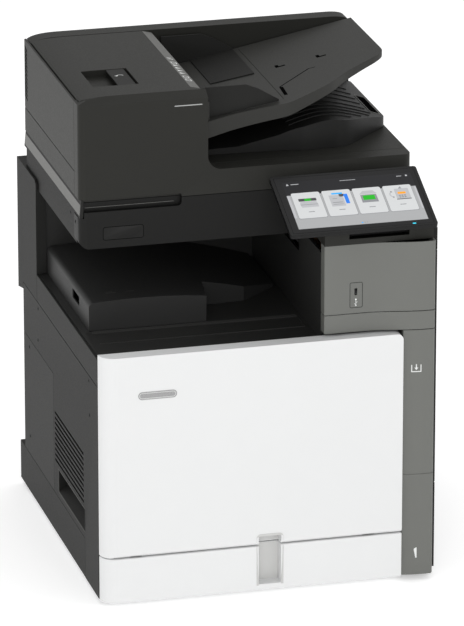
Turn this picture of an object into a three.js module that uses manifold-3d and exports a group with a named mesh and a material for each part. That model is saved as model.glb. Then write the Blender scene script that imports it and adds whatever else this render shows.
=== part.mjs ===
// A floor-standing A3 colour photocopier: paper drawer, front door, in-body output bin, flatbed
// scanner, lid with a document feeder, tilting touch panel, and the units that it needs inside.
// Machine frame in millimetres: X from the left side to the right, Y from the door's face to the
// rear, Z up from the floor. The exported group moves that frame to the middle of the footprint.
import * as THREE from 'three';
import { mergeVertices } from 'three/addons/utils/BufferGeometryUtils.js';
import Module from 'manifold-3d';

const wasm = await Module();
wasm.setup();

// ---------------------------------------------------------------- driving sizes
const GAP = 0.3; // air between two fixed pieces that meet
const SEAM = 1; // visible line between two covers
const PLAY = 1.2; // air beside a piece that moves
const SKIN = 3; // wall of a moulded cover
const SHEET = 3; // wall of the steel frame
const CUT = 1; // how far a cutting tool runs past the face that it cuts

const WIDTH = 590;
const DEPTH = 604;
const REAR_BOX = 41; // depth of the controller box behind the rear cover
const SIDE_BULGE = 10; // thickness of the right side covers
const FOOT_H = 11;
const DRAWER_H = 81.2;
const DOOR_H = 364;
const BIN_H = 156; // from the bin floor to the scanner
const SCANNER_H = 82;
const LID_H = 44;
const FEEDER_H = 140;
const COLUMN_W = 57; // grey column beside the door
const TOWER_W = 194; // tower beside the output bin
const FEEDER_W = 222; // feeder housing on the left of the lid
const WRAP = 28; // radius and depth of the door's wrapped left edge
const SCANNER_Y = 155; // front face of the scanner
const DOOR_ABOVE_BIN = 10.2; // the door's top edge above the bin floor

const Z_BASE = FOOT_H;
const Z_DRAWER = Z_BASE + DRAWER_H;
const Z_DOOR = Z_DRAWER + 2;
const Z_DOOR_TOP = Z_DOOR + DOOR_H;
const Z_BIN = Z_DOOR_TOP - DOOR_ABOVE_BIN;
const Z_SCANNER = Z_BIN + BIN_H;
const Z_LID = Z_SCANNER + SCANNER_H;
const Z_FEEDER = Z_LID + LID_H;
const Z_TOP = Z_FEEDER + FEEDER_H;

const X_DOOR = WIDTH - COLUMN_W;
const X_TOWER = WIDTH - TOWER_W;
const X_WALL = X_DOOR + 1; // right wall of the steel frame
const Y_COVERS = WRAP + 3; // front edge of the side covers
const Y_LID_REAR = DEPTH - 31;
const Y_COLUMN = DEPTH - 109.4; // front of the rear-left column
const Y_BOX = DEPTH + REAR_BOX;

const Y_FEED = SCANNER_Y + 36; // front edge of the lid plate and of what stands on it

const FRAME = {
  margin: 8, front: 40, windowLow: Z_DRAWER - 4.2, windowHigh: Z_DRAWER + 159.8, windowFront: 120,
};
const FOOT = { radius: 18, insetX: 70, front: 80, rear: DEPTH - 60 };
const SKIRT = { front: 134, top: 84, wall: 4, overhang: 2 };
const SIDE = { seamDrop: 50, rearSeam: 371, rearTop: 306, wall: 3 };
const GRIP = {
  front: 132, rear: 331, low: Z_DRAWER + 5.8, high: Z_DRAWER + 45.8, depth: 27, rise: 18,
};
const VENTS = { front: 140, rear: 360, low: GRIP.high + 9, pitch: 9.8, slot: 4.6, count: 10 };
const RAIL_WALL = 4.5;
const COLUMN = { wall: 4, top: 18, drop: 21, fold: 36 };
const INLET = { x: 60, z: 120, width: 30, height: 25, depth: 10 };
const LOUVRES = { left: WIDTH - 240, right: WIDTH - 60, rise: 120, pitch: 12, slot: 5, count: 9 };
const RIGHT = {
  low: Z_BASE + 1, doorLow: Z_DRAWER + 78, doorHigh: Z_SCANNER - 9.2, top: Z_SCANNER + 32,
  gap: 0.6, hingeInset: 49, hingeRadius: 5, ribs: 6,
};
const BYPASS = {
  front: 110, rear: DEPTH - 84, low: RIGHT.doorLow + 129.8, high: RIGHT.doorHigh - 34.8,
  thickness: 10.6, gap: 0.8, finger: 30,
};
const TOWER = { flat: 17, bold: 1.5, curveFrom: 120, curveTo: 15, corner: 6, back: 39.4 };
const TRIM = { low: 4.2, height: 33 };
const COLUMN_SEAM = Z_DRAWER + 105.8;
const USB = { x: 56, z: 82, width: 4.6, height: 12 };
const PANEL = {
  left: WIDTH - 261, width: 261, length: 155, thickness: 8,
  frontY: SCANNER_Y - 165, frontZ: Z_SCANNER + 51.5, tilt: 22.7, rim: 6, ledge: 5, pocket: 2,
};
const PANEL_PIVOT = {
  y: PANEL.frontY + 36, z: Z_SCANNER + 37, barrel: 7.5, pin: 4, left: X_TOWER + 44, right: WIDTH - 45,
};
const HOUSING = { low: 18.2, height: 28, front: PANEL_PIVOT.y - 11, cheek: PANEL_PIVOT.y + 25 };
const BIN = {
  floor: 4, wall: 3, back: Y_COLUMN + SKIN + SEAM,
  slotLow: Z_SCANNER - 44, slotHigh: Z_SCANNER - 14, slotFront: 184, slotRear: Y_COLUMN - 6.6,
};
const BLOCK = {
  left: 20, right: X_TOWER - 8, front: 176, rear: BIN.back - 1.6, height: 54,
  notchLeft: X_TOWER - 167, notchRear: 265,
};
const STRIP = { low: 56, top: 6, lean: 3 };
const GLASS = {
  left: 60, right: WIDTH - 78, front: SCANNER_Y + 59, rear: Y_LID_REAR - 51, thickness: 3,
};
const CARRIAGE = {
  x: GLASS.left + 14, width: 34, low: SCANNER_H - 48, high: SCANNER_H - 16,
  rodY: GLASS.front + 86, rodZ: SCANNER_H - 54, rod: 5,
};
const HINGE = { y: Y_LID_REAR + 9, rise: 4, barrel: 5.5, ear: 7.5, pin: 3.6, half: 12, inset: 130 };
const FEEDER = { top: 10, bevel: 18, side: 4, shoulder: FEEDER_W + 5, fillet: 24, frontDepth: 35 };
const BACK_RAIL = { front: Y_LID_REAR - 33, right: WIDTH - 6, curve: 36, fall: 11 };
const CROWN = { width: 60, drop: 9, control: 18 }; // the feeder's top curves down to the left
const FRONT_CORNER = 12; // radius of the lid's upright front corners
const TRAY_HINGE = { x: FEEDER_W + 4, z: Z_TOP - 32, pin: 3 };
const FEED_ROLLER = { x: FEEDER_W - 17, z: Z_TOP - 53, shaft: 4, radius: 10, tyres: [320, 380], tyre: 30 };
const LATCH = { left: 44, right: 124, front: 231, rear: 325, depth: 12, lever: 88 };
const DRAWER = {
  left: 15, right: X_DOOR - 5, rear: DEPTH - 44, low: Z_BASE + 4.5, high: Z_DRAWER - 4.2, wall: 2.5,
};
const RUNNER = { low: Z_BASE + 29, thickness: 6, front: 60, gap: 0.6 };
const LIFT = { left: 150, right: DRAWER.right - 10, front: 62, rear: DRAWER.rear - 32, sheet: 2 };
const END_GUIDE = { x: 104, wall: 3, middle: (LIFT.front + LIFT.rear) / 2, half: 115, foot: 55 };
const RECESS = {
  left: 277, right: 316, low: Z_BASE + 11, high: Z_DRAWER + 17.8, depth: 20, wall: 5,
};
const DOOR_PIVOT = { y: 8, rise: 8, chamfer: 4, pin: 2, eye: 4, inset: 50, arm: 8 };
const PICKUP = { x: X_DOOR - 19, z: Z_DRAWER + 10.8, radius: 11.5, shaft: 4, front: 250, rear: 350 };
const TONER = {
  radius: 37, first: 66, last: X_DOOR - 113, z: Z_BIN - 58, front: 60, rear: DEPTH - 64, count: 4,
};
const BELT = {
  left: 56, right: X_DOOR - 45, front: 66, rear: DEPTH - 48, low: Z_BIN - 162, high: Z_BIN - 110,
  film: 2, journal: 6,
};
const LASER = { left: 52, right: X_DOOR - 35, front: 60, rear: DEPTH - 44, height: 52 };
const WASTE = {
  left: X_DOOR - 31, right: X_DOOR - 3, front: 52, rear: 330, low: Z_DOOR + 67.8, high: Z_BIN - 16,
  wall: 2,
};
const FUSER = {
  left: X_TOWER + 18, right: X_DOOR - 5, front: 70, rear: DEPTH - 34,
  low: Z_BIN + 26, high: Z_BIN + 112, wall: 5, roller: 18, shaft: 6,
};
const EXIT = {
  x: X_TOWER + 8.5, z: Z_SCANNER - 28, tyre: 8, tyreWidth: 16, shaft: 3.5,
  front: 172, rear: Y_COLUMN + 0.4,
};
const TONER_PITCH = (TONER.last - TONER.first) / (TONER.count - 1);
const LID_GRIP = 180; // length of the finger groove under the lid
const FAN = { x: 14, y: 252, z: VENTS.low + 58, radius: 38, depth: 22, hub: 13, blades: 7 };

// ---------------------------------------------------------------- finishes
const FINISH = {
  white: new THREE.MeshStandardMaterial({ color: 0xf0f1f0, roughness: 0.42, metalness: 0 }),
  black: new THREE.MeshStandardMaterial({ color: 0x33332f, roughness: 0.55, metalness: 0 }),
  charcoal: new THREE.MeshStandardMaterial({ color: 0x474743, roughness: 0.6, metalness: 0 }),
  grey: new THREE.MeshStandardMaterial({ color: 0x80827e, roughness: 0.5, metalness: 0.1 }),
  steel: new THREE.MeshStandardMaterial({ color: 0x9a9d9f, roughness: 0.4, metalness: 0.9 }),
  rubber: new THREE.MeshStandardMaterial({ color: 0x1c1c1c, roughness: 0.9, metalness: 0 }),
  glass: new THREE.MeshStandardMaterial({ color: 0x9fb0ad, roughness: 0.05, metalness: 0 }),
  screen: new THREE.MeshStandardMaterial({ color: 0x0e0f10, roughness: 0.15, metalness: 0 }),
  pad: new THREE.MeshStandardMaterial({ color: 0xf7f7f5, roughness: 0.8, metalness: 0 }),
  amber: new THREE.MeshStandardMaterial({ color: 0x7a4a22, roughness: 0.35, metalness: 0 }),
};

// ---------------------------------------------------------------- solid helpers
function toSolid(geometry) {
  geometry.deleteAttribute('normal');
  geometry.deleteAttribute('uv');
  const merged = mergeVertices(geometry, 1e-4);
  return new wasm.Manifold(new wasm.Mesh({
    numProp: 3,
    vertProperties: new Float32Array(merged.attributes.position.array),
    triVerts: new Uint32Array(merged.index.array),
  }));
}

function box(x0, x1, y0, y1, z0, z1) {
  const geometry = new THREE.BoxGeometry(x1 - x0, y1 - y0, z1 - z0);
  geometry.translate((x0 + x1) / 2, (y0 + y1) / 2, (z0 + z1) / 2);
  return toSolid(geometry);
}

function extrude(shape, depth, basis, offset, segments) {
  const options = { depth, bevelEnabled: false, curveSegments: segments };
  const geometry = new THREE.ExtrudeGeometry(shape, options);
  geometry.applyMatrix4(basis);
  geometry.translate(offset.x, offset.y, offset.z);
  return toSolid(geometry);
}

// A plan outline (x, y) between two heights.
function prismXY(shape, z0, z1, segments = 6) {
  return extrude(shape, z1 - z0, new THREE.Matrix4(), new THREE.Vector3(0, 0, z0), segments);
}

// A front outline (x, z) between two depths.
function prismXZ(shape, y0, y1, segments = 6) {
  const basis = new THREE.Matrix4().makeRotationX(Math.PI / 2);
  return extrude(shape, y1 - y0, basis, new THREE.Vector3(0, y1, 0), segments);
}

// A side outline (y, z) between two sides.
function prismYZ(shape, x0, x1, segments = 6) {
  const basis = new THREE.Matrix4().makeBasis(
    new THREE.Vector3(0, 1, 0),
    new THREE.Vector3(0, 0, 1),
    new THREE.Vector3(1, 0, 0),
  );
  return extrude(shape, x1 - x0, basis, new THREE.Vector3(x0, 0, 0), segments);
}

function polygon(...points) {
  return new THREE.Shape(points.map(([u, v]) => new THREE.Vector2(u, v)));
}

// A rectangle whose corners are rounded one by one: bottom left, bottom right, top right, top left.
function roundedRect(u0, v0, u1, v1, [bl, br, tr, tl]) {
  const shape = new THREE.Shape();
  shape.moveTo(u0 + bl, v0);
  shape.lineTo(u1 - br, v0);
  if (br) shape.absarc(u1 - br, v0 + br, br, -Math.PI / 2, 0, false);
  shape.lineTo(u1, v1 - tr);
  if (tr) shape.absarc(u1 - tr, v1 - tr, tr, 0, Math.PI / 2, false);
  shape.lineTo(u0 + tl, v1);
  if (tl) shape.absarc(u0 + tl, v1 - tl, tl, Math.PI / 2, Math.PI, false);
  shape.lineTo(u0, v0 + bl);
  if (bl) shape.absarc(u0 + bl, v0 + bl, bl, Math.PI, Math.PI * 1.5, false);
  return shape;
}

// A cylinder along one axis, from one end to the other; the centre is in the other two directions.
function cylinder(axis, radius, from, to, [u, v], sides = 16) {
  const geometry = new THREE.CylinderGeometry(radius, radius, to - from, sides);
  const middle = (from + to) / 2;
  if (axis === 'x') {
    geometry.rotateZ(Math.PI / 2);
    geometry.translate(middle, u, v);
  } else if (axis === 'y') {
    geometry.translate(u, middle, v);
  } else {
    geometry.rotateX(Math.PI / 2);
    geometry.translate(u, v, middle);
  }
  return toSolid(geometry);
}

function join(...solids) {
  return solids.reduce((sum, next) => sum.add(next));
}

function cut(solid, ...tools) {
  return tools.reduce((rest, tool) => rest.subtract(tool), solid);
}

function node(name, solid, material) {
  const { vertProperties, triVerts } = solid.getMesh();
  const geometry = new THREE.BufferGeometry();
  geometry.setAttribute('position', new THREE.BufferAttribute(vertProperties, 3));
  geometry.setIndex(new THREE.BufferAttribute(triVerts, 1));
  geometry.computeVertexNormals();
  const mesh = new THREE.Mesh(geometry, material);
  mesh.name = name;
  return mesh;
}

// A tub: a box with a wall all round and one side left open.
function openBox([x0, x1], [y0, y1], [z0, z1], wall, open) {
  const inner = {
    x0: x0 + wall, x1: x1 - wall, y0: y0 + wall, y1: y1 - wall, z0: z0 + wall, z1: z1 - wall,
  };
  const past = { x0, x1, y0, y1, z0, z1 };
  inner[open] = past[open] + (open.endsWith('1') ? CUT : -CUT);
  return cut(
    box(x0, x1, y0, y1, z0, z1),
    box(inner.x0, inner.x1, inner.y0, inner.y1, inner.z0, inner.z1),
  );
}

// The same points drawn in by a wall's thickness, towards the outline's middle.
function inset(points, wall) {
  const us = points.map(([u]) => u);
  const vs = points.map(([, v]) => v);
  const shrink = (values) => {
    const low = Math.min(...values);
    const high = Math.max(...values);
    const scale = (high - low - 2 * wall) / (high - low);
    return (value) => (low + high) / 2 + (value - (low + high) / 2) * scale;
  };
  const shrinkU = shrink(us);
  const shrinkV = shrink(vs);
  return points.map(([u, v]) => [shrinkU(u), shrinkV(v)]);
}

// A smooth line through the points.
function smoothed(points, count) {
  const curve = new THREE.SplineCurve(points.map(([u, v]) => new THREE.Vector2(u, v)));
  return curve.getPoints(count).map(({ x, y }) => [x, y]);
}

// The same points spread evenly between two ends.
function stretched(points, left, right) {
  const us = points.map(([u]) => u);
  const low = Math.min(...us);
  const scale = (right - left) / (Math.max(...us) - low);
  return points.map(([u, v]) => [left + (u - low) * scale, v]);
}

// ---------------------------------------------------------------- steel frame and feet
function feet() {
  const names = ['foot_front_left', 'foot_front_right', 'foot_rear_left', 'foot_rear_right'];
  return names.map((name, index) => {
    const x = index % 2 ? WIDTH - FOOT.insetX : FOOT.insetX;
    const y = index < 2 ? FOOT.front : FOOT.rear;
    return node(name, cylinder('z', FOOT.radius, 0, FOOT_H - GAP, [x, y]), FINISH.rubber);
  });
}

function doorHingeArm(x) {
  const { y, rise, eye, pin, arm } = DOOR_PIVOT;
  const z = Z_DOOR + rise;
  const bar = box(x, x + arm, y, FRAME.front + SHEET, z - eye, z + eye);
  const barrel = cylinder('x', eye, x, x + arm, [y, z], 12);
  const upright = box(x, x + arm, FRAME.front, FRAME.front + SHEET, Z_DOOR, z + eye);
  const eyeHole = cylinder('x', pin + 0.4, x - CUT, x + arm + CUT, [y, z], 12);
  return cut(join(bar, barrel, upright), eyeHole);
}

function pickupBracket(y) {
  const { x, z, shaft } = PICKUP;
  const tab = box(x - 7, x + 7, y, y + SHEET, Z_DOOR, z + 8);
  return cut(tab, cylinder('y', shaft + GAP, y - CUT, y + SHEET + CUT, [x, z], 16));
}

function fanMount() {
  const { x, y, z, radius, depth } = FAN;
  const half = radius + 4;
  const body = box(x, x + depth, y - half, y + half, z - half, z + half);
  const bore = cylinder('x', radius + 1.5, x - CUT, x + depth + CUT, [y, z], 20);
  const strut = box(x + depth - 3, x + depth, y - half, y + half, z - 4, z + 4);
  const hub = cylinder('x', 2.6, x + 4, x + depth, [y, z], 12);
  const foot = box(
    FRAME.margin + SHEET - CUT, x + depth, y + half - 1, y + half + 2, z - half, FRAME.windowHigh + 8,
  );
  return join(cut(body, bore), strut, hub, foot);
}

// The steel frame of bent sheet: floor, rear wall and two shelves in one, two side walls with
// windows, and the shelf above the drawer.
function steelFrame() {
  const x0 = FRAME.margin;
  const x1 = WIDTH - FRAME.margin;
  const y0 = FRAME.front;
  const y1 = DEPTH - FRAME.margin;
  const xWall = X_WALL + SHEET;
  const yWall = y1 - SHEET - GAP;
  const zFoot = Z_BASE + SHEET + GAP;
  const zHead = Z_SCANNER - GAP;
  const zShelf = Z_BIN - 5;
  const zTowerShelf = Z_BIN + 18;
  const inside = { left: x0 + SHEET + GAP, right: X_WALL - GAP };
  const sideWindow = (z0, z1) => box(X_WALL - CUT, xWall + CUT, y0 + 40, y1 - 40, z0, z1);
  const runner = (from, to) => box(
    from, to, RUNNER.front, yWall, RUNNER.low, RUNNER.low + RUNNER.thickness,
  );
  const leftWall = cut(
    join(
      box(x0, x0 + SHEET, y0, yWall, zFoot, zShelf),
      box(x0, x0 + 12, y0, y0 + SHEET, Z_DOOR + SHEET + GAP, zShelf - SHEET - GAP),
      runner(x0, DRAWER.left - RUNNER.gap),
    ),
    box(
      x0 - CUT, x0 + SHEET + CUT, FRAME.windowFront, SIDE.rearSeam + 2,
      FRAME.windowLow, FRAME.windowHigh,
    ),
  );
  const rightWall = cut(
    join(
      box(X_WALL, xWall, y0, yWall, zFoot, zHead),
      box(X_WALL, X_WALL + 26, y0, y0 + SHEET, zFoot, zHead),
      runner(DRAWER.right + RUNNER.gap, xWall),
    ),
    sideWindow(Z_BASE + 44, Z_DOOR - 8),
    sideWindow(Z_DOOR + 30, zShelf - 20),
    sideWindow(zTowerShelf + 10, Z_SCANNER - 20),
  );
  const drawerShelf = cut(
    box(inside.left, inside.right, y0, yWall, Z_DOOR, Z_DOOR + SHEET),
    box(x0, GRIP.depth + 19, FRAME.windowFront, GRIP.rear + 14, Z_DOOR - CUT, Z_DOOR + SHEET + CUT),
    box(
      PICKUP.x - 15, PICKUP.x + 15, PICKUP.front + 10, PICKUP.rear - 10,
      Z_DOOR - CUT, Z_DOOR + SHEET + CUT,
    ),
  );
  const armInset = DOOR_PIVOT.inset + DOOR_PIVOT.arm;
  return [
    node('frame_core', join(
      box(x0, x1, y0, y1, Z_BASE, Z_BASE + SHEET),
      box(x0, x1, y1 - SHEET, y1, Z_BASE, zHead),
      box(inside.left, inside.right, y0, y1, zShelf - SHEET, zShelf),
      box(X_TOWER + 5, inside.right, y0 + 20, y1, zTowerShelf, zTowerShelf + SHEET),
    ), FINISH.steel),
    node('frame_left_wall', join(leftWall, fanMount()), FINISH.steel),
    node('frame_right_wall', rightWall, FINISH.steel),
    node('frame_drawer_shelf', join(
      drawerShelf,
      doorHingeArm(armInset),
      doorHingeArm(X_DOOR - armInset - DOOR_PIVOT.arm),
      pickupBracket(PICKUP.front + 4),
      pickupBracket(PICKUP.rear - 4 - SHEET),
    ), FINISH.steel),
  ];
}

// ---------------------------------------------------------------- left side covers
function baseSkirt() {
  const rear = Y_BOX - SKIRT.overhang;
  const { wall, top } = SKIRT;
  return node('base_skirt', join(
    box(0, wall, SKIRT.front, rear, Z_BASE, top),
    box(0, WIDTH, rear - wall, rear, Z_BASE, top),
    box(WIDTH - wall, WIDTH, FRAME.front + SEAM, rear, Z_BASE, top),
    box(0, WIDTH, DEPTH - FRAME.margin + SEAM, rear, top - wall, top),
  ), FINISH.charcoal);
}

function gripPocket(wall) {
  const { front, rear, low, high, depth, rise } = GRIP;
  return prismXZ(polygon(
    [wall ? 0 : -CUT, low - wall],
    [depth + wall, low + rise - wall],
    [depth + wall, high + wall],
    [wall ? 0 : -CUT, high + wall],
  ), front - wall, rear + wall);
}

function leftSidePanel() {
  const high = Z_BIN - SIDE.seamDrop - SEAM / 2;
  const low = SKIRT.top + SEAM;
  const plate = prismYZ(polygon(
    [Y_COVERS, Z_BASE],
    [SKIRT.front - SEAM, Z_BASE],
    [SKIRT.front - SEAM, low],
    [SIDE.rearSeam - SEAM / 2, low],
    [SIDE.rearSeam - SEAM / 2, SIDE.rearTop + SEAM / 2],
    [DEPTH, SIDE.rearTop + SEAM / 2],
    [DEPTH, high],
    [Y_COVERS, high],
  ), 0, SIDE.wall);
  const slots = Array.from({ length: VENTS.count }, (_, index) => {
    const z = VENTS.low + index * VENTS.pitch;
    return box(-CUT, SIDE.wall + CUT, VENTS.front, VENTS.rear, z, z + VENTS.slot);
  });
  const body = cut(join(plate, gripPocket(SIDE.wall)), gripPocket(0), ...slots);
  return node('left_side_panel', body, FINISH.charcoal);
}

function sideRail() {
  const low = Z_BIN - SIDE.seamDrop + SEAM / 2;
  const wall = box(0, RAIL_WALL, Y_COVERS, Y_COLUMN - SEAM, low, Z_BIN);
  const lip = box(0, RAIL_WALL + 12, Y_COVERS, Y_COLUMN - SEAM, low, low + SKIN);
  const clear = box(
    FRAME.margin - SEAM, RAIL_WALL + 14, Y_COVERS - CUT, Y_COLUMN, low - CUT, low + SKIN + CUT,
  );
  return node('side_rail', cut(join(wall, lip), clear), FINISH.charcoal);
}

function leftColumn() {
  const low = Z_BIN - SIDE.seamDrop + SEAM / 2;
  const top = Z_SCANNER + COLUMN.top;
  const { wall, drop, fold } = COLUMN;
  const side = prismYZ(polygon(
    [Y_COLUMN, low],
    [DEPTH + SEAM, low],
    [DEPTH + SEAM, low - 13],
    [Y_BOX, low - drop],
    [Y_BOX, top],
    [Y_COLUMN + 10, top],
    [Y_COLUMN, top - 5],
  ), 0, wall);
  return node('left_column', join(
    side,
    box(0, 18, Y_COLUMN, Y_COLUMN + SKIN, Z_BIN + SEAM, Z_SCANNER - GAP),
    box(0, fold, Y_LID_REAR + 14, Y_BOX, top - SKIN, top),
    box(0, fold, Y_BOX - SKIN, Y_BOX, low - drop, top),
  ), FINISH.charcoal);
}

// ---------------------------------------------------------------- rear covers
function rearCover() {
  const top = Z_BIN - SIDE.seamDrop - COLUMN.drop - SEAM;
  const low = SKIRT.top + SEAM;
  const y0 = DEPTH - SKIN;
  const sideTop = SIDE.rearTop - SEAM / 2;
  const plate = join(
    box(0, SIDE.wall, SIDE.rearSeam + SEAM / 2, DEPTH, low, sideTop),
    box(0, SIDE.wall + SEAM + CUT, y0, DEPTH, low, sideTop),
    box(SIDE.wall + SEAM, WIDTH - SEAM, y0, DEPTH, low, top),
    box(SIDE.wall + SEAM, WIDTH - SEAM, y0, DEPTH + 6, low, low + 4),
  );
  const louvres = Array.from({ length: LOUVRES.count }, (_, index) => {
    const z0 = low + LOUVRES.rise + index * LOUVRES.pitch;
    return box(LOUVRES.left, LOUVRES.right, y0 - CUT, DEPTH + CUT, z0, z0 + LOUVRES.slot);
  });
  const { x, z, width, height } = INLET;
  const hole = box(x - GAP, x + width + GAP, y0 - CUT, DEPTH + CUT, z - GAP, z + height + GAP);
  return node('rear_cover', cut(plate, hole, ...louvres), FINISH.charcoal);
}

function powerInlet() {
  const { x, z, width, height, depth } = INLET;
  const y0 = DEPTH - SKIN - 3;
  const shell = box(x, x + width, y0, y0 + depth, z, z + height);
  const pocket = box(x + 3, x + width - 3, y0 + 2, y0 + depth + CUT, z + 3, z + height - 3);
  const blades = [-7, 0, 7].map((shift) => {
    const centre = x + width / 2 + shift;
    return box(centre - 1, centre + 1, y0 + 1, y0 + depth - 2, z + 10, z + 15);
  });
  return node('power_inlet', join(cut(shell, pocket), ...blades), FINISH.black);
}

function rearUpperCover() {
  const x0 = COLUMN.fold + SEAM;
  const top = Z_SCANNER + COLUMN.top;
  const low = Z_BIN - SIDE.seamDrop - COLUMN.drop;
  const shell = openBox([x0, WIDTH - SEAM], [DEPTH + SEAM, Y_BOX], [low, top], SKIN, 'y0');
  const openEnd = box(x0 - CUT, x0 + SKIN + CUT, DEPTH, Y_BOX - SKIN, low + SKIN, top - SKIN);
  const roof = box(x0, WIDTH - SEAM, Y_LID_REAR + 14, Y_BOX, top - SKIN, top);
  return node('rear_upper_cover', join(cut(shell, openEnd), roof), FINISH.charcoal);
}

// ---------------------------------------------------------------- right side
function rightSideCover() {
  const { low, doorLow, doorHigh, top, gap, hingeInset, hingeRadius } = RIGHT;
  const x0 = WIDTH + gap;
  const x1 = x0 + SIDE_BULGE;
  const front = Y_COVERS - SEAM;
  const spine = DEPTH - hingeInset + hingeRadius + PLAY * 2;
  const outline = (wall) => polygon(
    [front + wall, low + wall],
    [DEPTH - wall, low + wall],
    [DEPTH - wall, top - wall],
    [front + wall, top - wall],
    [front + wall, doorHigh + PLAY + wall],
    [spine + wall, doorHigh + PLAY + wall],
    [spine + wall, doorLow - PLAY - wall],
    [front + wall, doorLow - PLAY - wall],
  );
  const shell = cut(prismYZ(outline(0), x0, x1), prismYZ(outline(SKIN), x0 - CUT, x1 - SKIN));
  return node('right_side_cover', shell, FINISH.charcoal);
}

function rightDoor() {
  const { doorLow, doorHigh, gap, hingeInset, hingeRadius, ribs } = RIGHT;
  const x0 = WIDTH + gap;
  const x1 = x0 + SIDE_BULGE;
  const hingeY = DEPTH - hingeInset;
  const slab = box(x0, x1, Y_COVERS, hingeY, doorLow, doorHigh);
  const knuckle = cylinder('z', hingeRadius, doorLow, doorHigh, [x0 + hingeRadius, hingeY], 20);
  const hollow = box(
    x0 - CUT, x1 - SKIN, Y_COVERS + SKIN, hingeY - 12, doorLow + SKIN, doorHigh - SKIN,
  );
  const first = Y_COVERS + 59;
  const pitch = (hingeY - 75 - first) / (ribs - 1);
  const guides = Array.from({ length: ribs }, (_, index) => {
    const y = first + index * pitch;
    return box(x0 - 5, x1 - 1, y, y + 2, doorLow + 40, doorHigh - 40);
  });
  return node('right_door', join(cut(join(slab, knuckle), hollow), ...guides), FINISH.charcoal);
}

function bypassTray() {
  const { front, rear, low, high, thickness, gap, finger } = BYPASS;
  const radius = thickness / 2;
  const middle = (front + rear) / 2;
  const x0 = WIDTH + RIGHT.gap + SIDE_BULGE + gap;
  const shape = new THREE.Shape();
  shape.moveTo(x0, low + radius);
  shape.absarc(x0 + radius, low + radius, radius, Math.PI, Math.PI * 2, false);
  shape.lineTo(x0 + thickness, high - 4);
  shape.lineTo(x0 + thickness - 4, high);
  shape.lineTo(x0, high);
  const plate = prismXZ(shape, front, rear, 6);
  const hold = box(
    x0 + 4, x0 + thickness + CUT, middle - finger, middle + finger, high - 18, high + CUT,
  );
  return node('bypass_tray', cut(plate, hold), FINISH.charcoal);
}

// ---------------------------------------------------------------- grey tower
// The tower's front is flat beside the bin and swells forward to the right corner.
function towerFront(x) {
  const from = WIDTH - TOWER.curveFrom;
  const to = WIDTH - TOWER.curveTo;
  const share = Math.min(Math.max((x - from) / (to - from), 0), 1);
  const ease = share * share * (3 - 2 * share);
  return TOWER.flat + (TOWER.bold - TOWER.flat) * ease;
}

function towerOutline(x0, wall, back) {
  const { corner } = TOWER;
  const left = x0 + wall;
  const right = WIDTH - wall;
  const shape = new THREE.Shape();
  shape.moveTo(left, back);
  const steps = 9;
  for (let step = 0; step <= steps; step += 1) {
    const x = left + ((right - corner - left) * step) / steps;
    shape.lineTo(x, towerFront(x) + wall);
  }
  const cornerY = towerFront(right - corner) + wall;
  shape.absarc(right - corner, cornerY + corner, corner, -Math.PI / 2, 0, false);
  shape.lineTo(right, back);
  return shape;
}

function towerShell(x0, z0, z1) {
  const outer = prismXY(towerOutline(x0, 0, TOWER.back), z0, z1);
  return cut(outer, prismXY(towerOutline(x0, SKIN, TOWER.back + CUT), z0 - CUT, z1 + CUT));
}

function columnCover() {
  const top = Z_BIN + TRIM.low + 10;
  const seam = box(
    X_DOOR, WIDTH + CUT, -CUT, TOWER.back + CUT, COLUMN_SEAM - SEAM / 2, COLUMN_SEAM + SEAM / 2,
  );
  const inner = prismXY(
    towerOutline(X_DOOR + PLAY, 1, TOWER.back + 2), COLUMN_SEAM - SKIN, COLUMN_SEAM + SKIN,
  );
  const shell = towerShell(X_DOOR + PLAY, Z_BASE, top);
  return node('column_cover', cut(shell, cut(seam, inner)), FINISH.grey);
}

function trimStrip() {
  const z0 = Z_BIN + TRIM.low + 10 + SEAM;
  return node('trim_strip', towerShell(X_TOWER, z0, z0 + TRIM.height), FINISH.grey);
}

function usbPanel() {
  const z0 = Z_BIN + TRIM.low + 10 + TRIM.height + 2 * SEAM;
  const z1 = Z_SCANNER + HOUSING.low - SEAM / 2;
  const x = X_TOWER + USB.x;
  const z = Z_BIN + USB.z;
  const half = USB.width / 2;
  const slot = box(x - half, x + half, TOWER.flat - 8, TOWER.flat + SKIN + CUT, z, z + USB.height);
  return node('usb_panel', cut(towerShell(X_TOWER, z0, z1), slot), FINISH.grey);
}

// ---------------------------------------------------------------- tilting control panel
function panelHousing() {
  const { front, low, height, cheek } = HOUSING;
  const z0 = Z_SCANNER + low;
  const z1 = z0 + height;
  const { y, z, barrel, pin, left, right } = PANEL_PIVOT;
  const rear = SCANNER_Y - 0.6;
  const shell = openBox([X_TOWER, WIDTH - SEAM], [front, rear], [z0, z1], SKIN, 'z0');
  const cheeks = join(
    box(left - 14, left - 0.8, front, cheek, z0, z1),
    box(right + 0.8, right + 14, front, cheek, z0, z1),
  );
  const notch = box(
    left - 0.8, right + 0.8, front - CUT, y + barrel + 18, z - barrel - 1.5, z1 + CUT,
  );
  const holes = cylinder('x', pin + 0.4, left - 13, right + 13, [y, z], 16);
  const floor = box(left - 2, right + 2, front, cheek, z0, z0 + SKIN);
  return node('panel_housing', join(cut(join(shell, cheeks), notch, holes), floor), FINISH.black);
}

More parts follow.
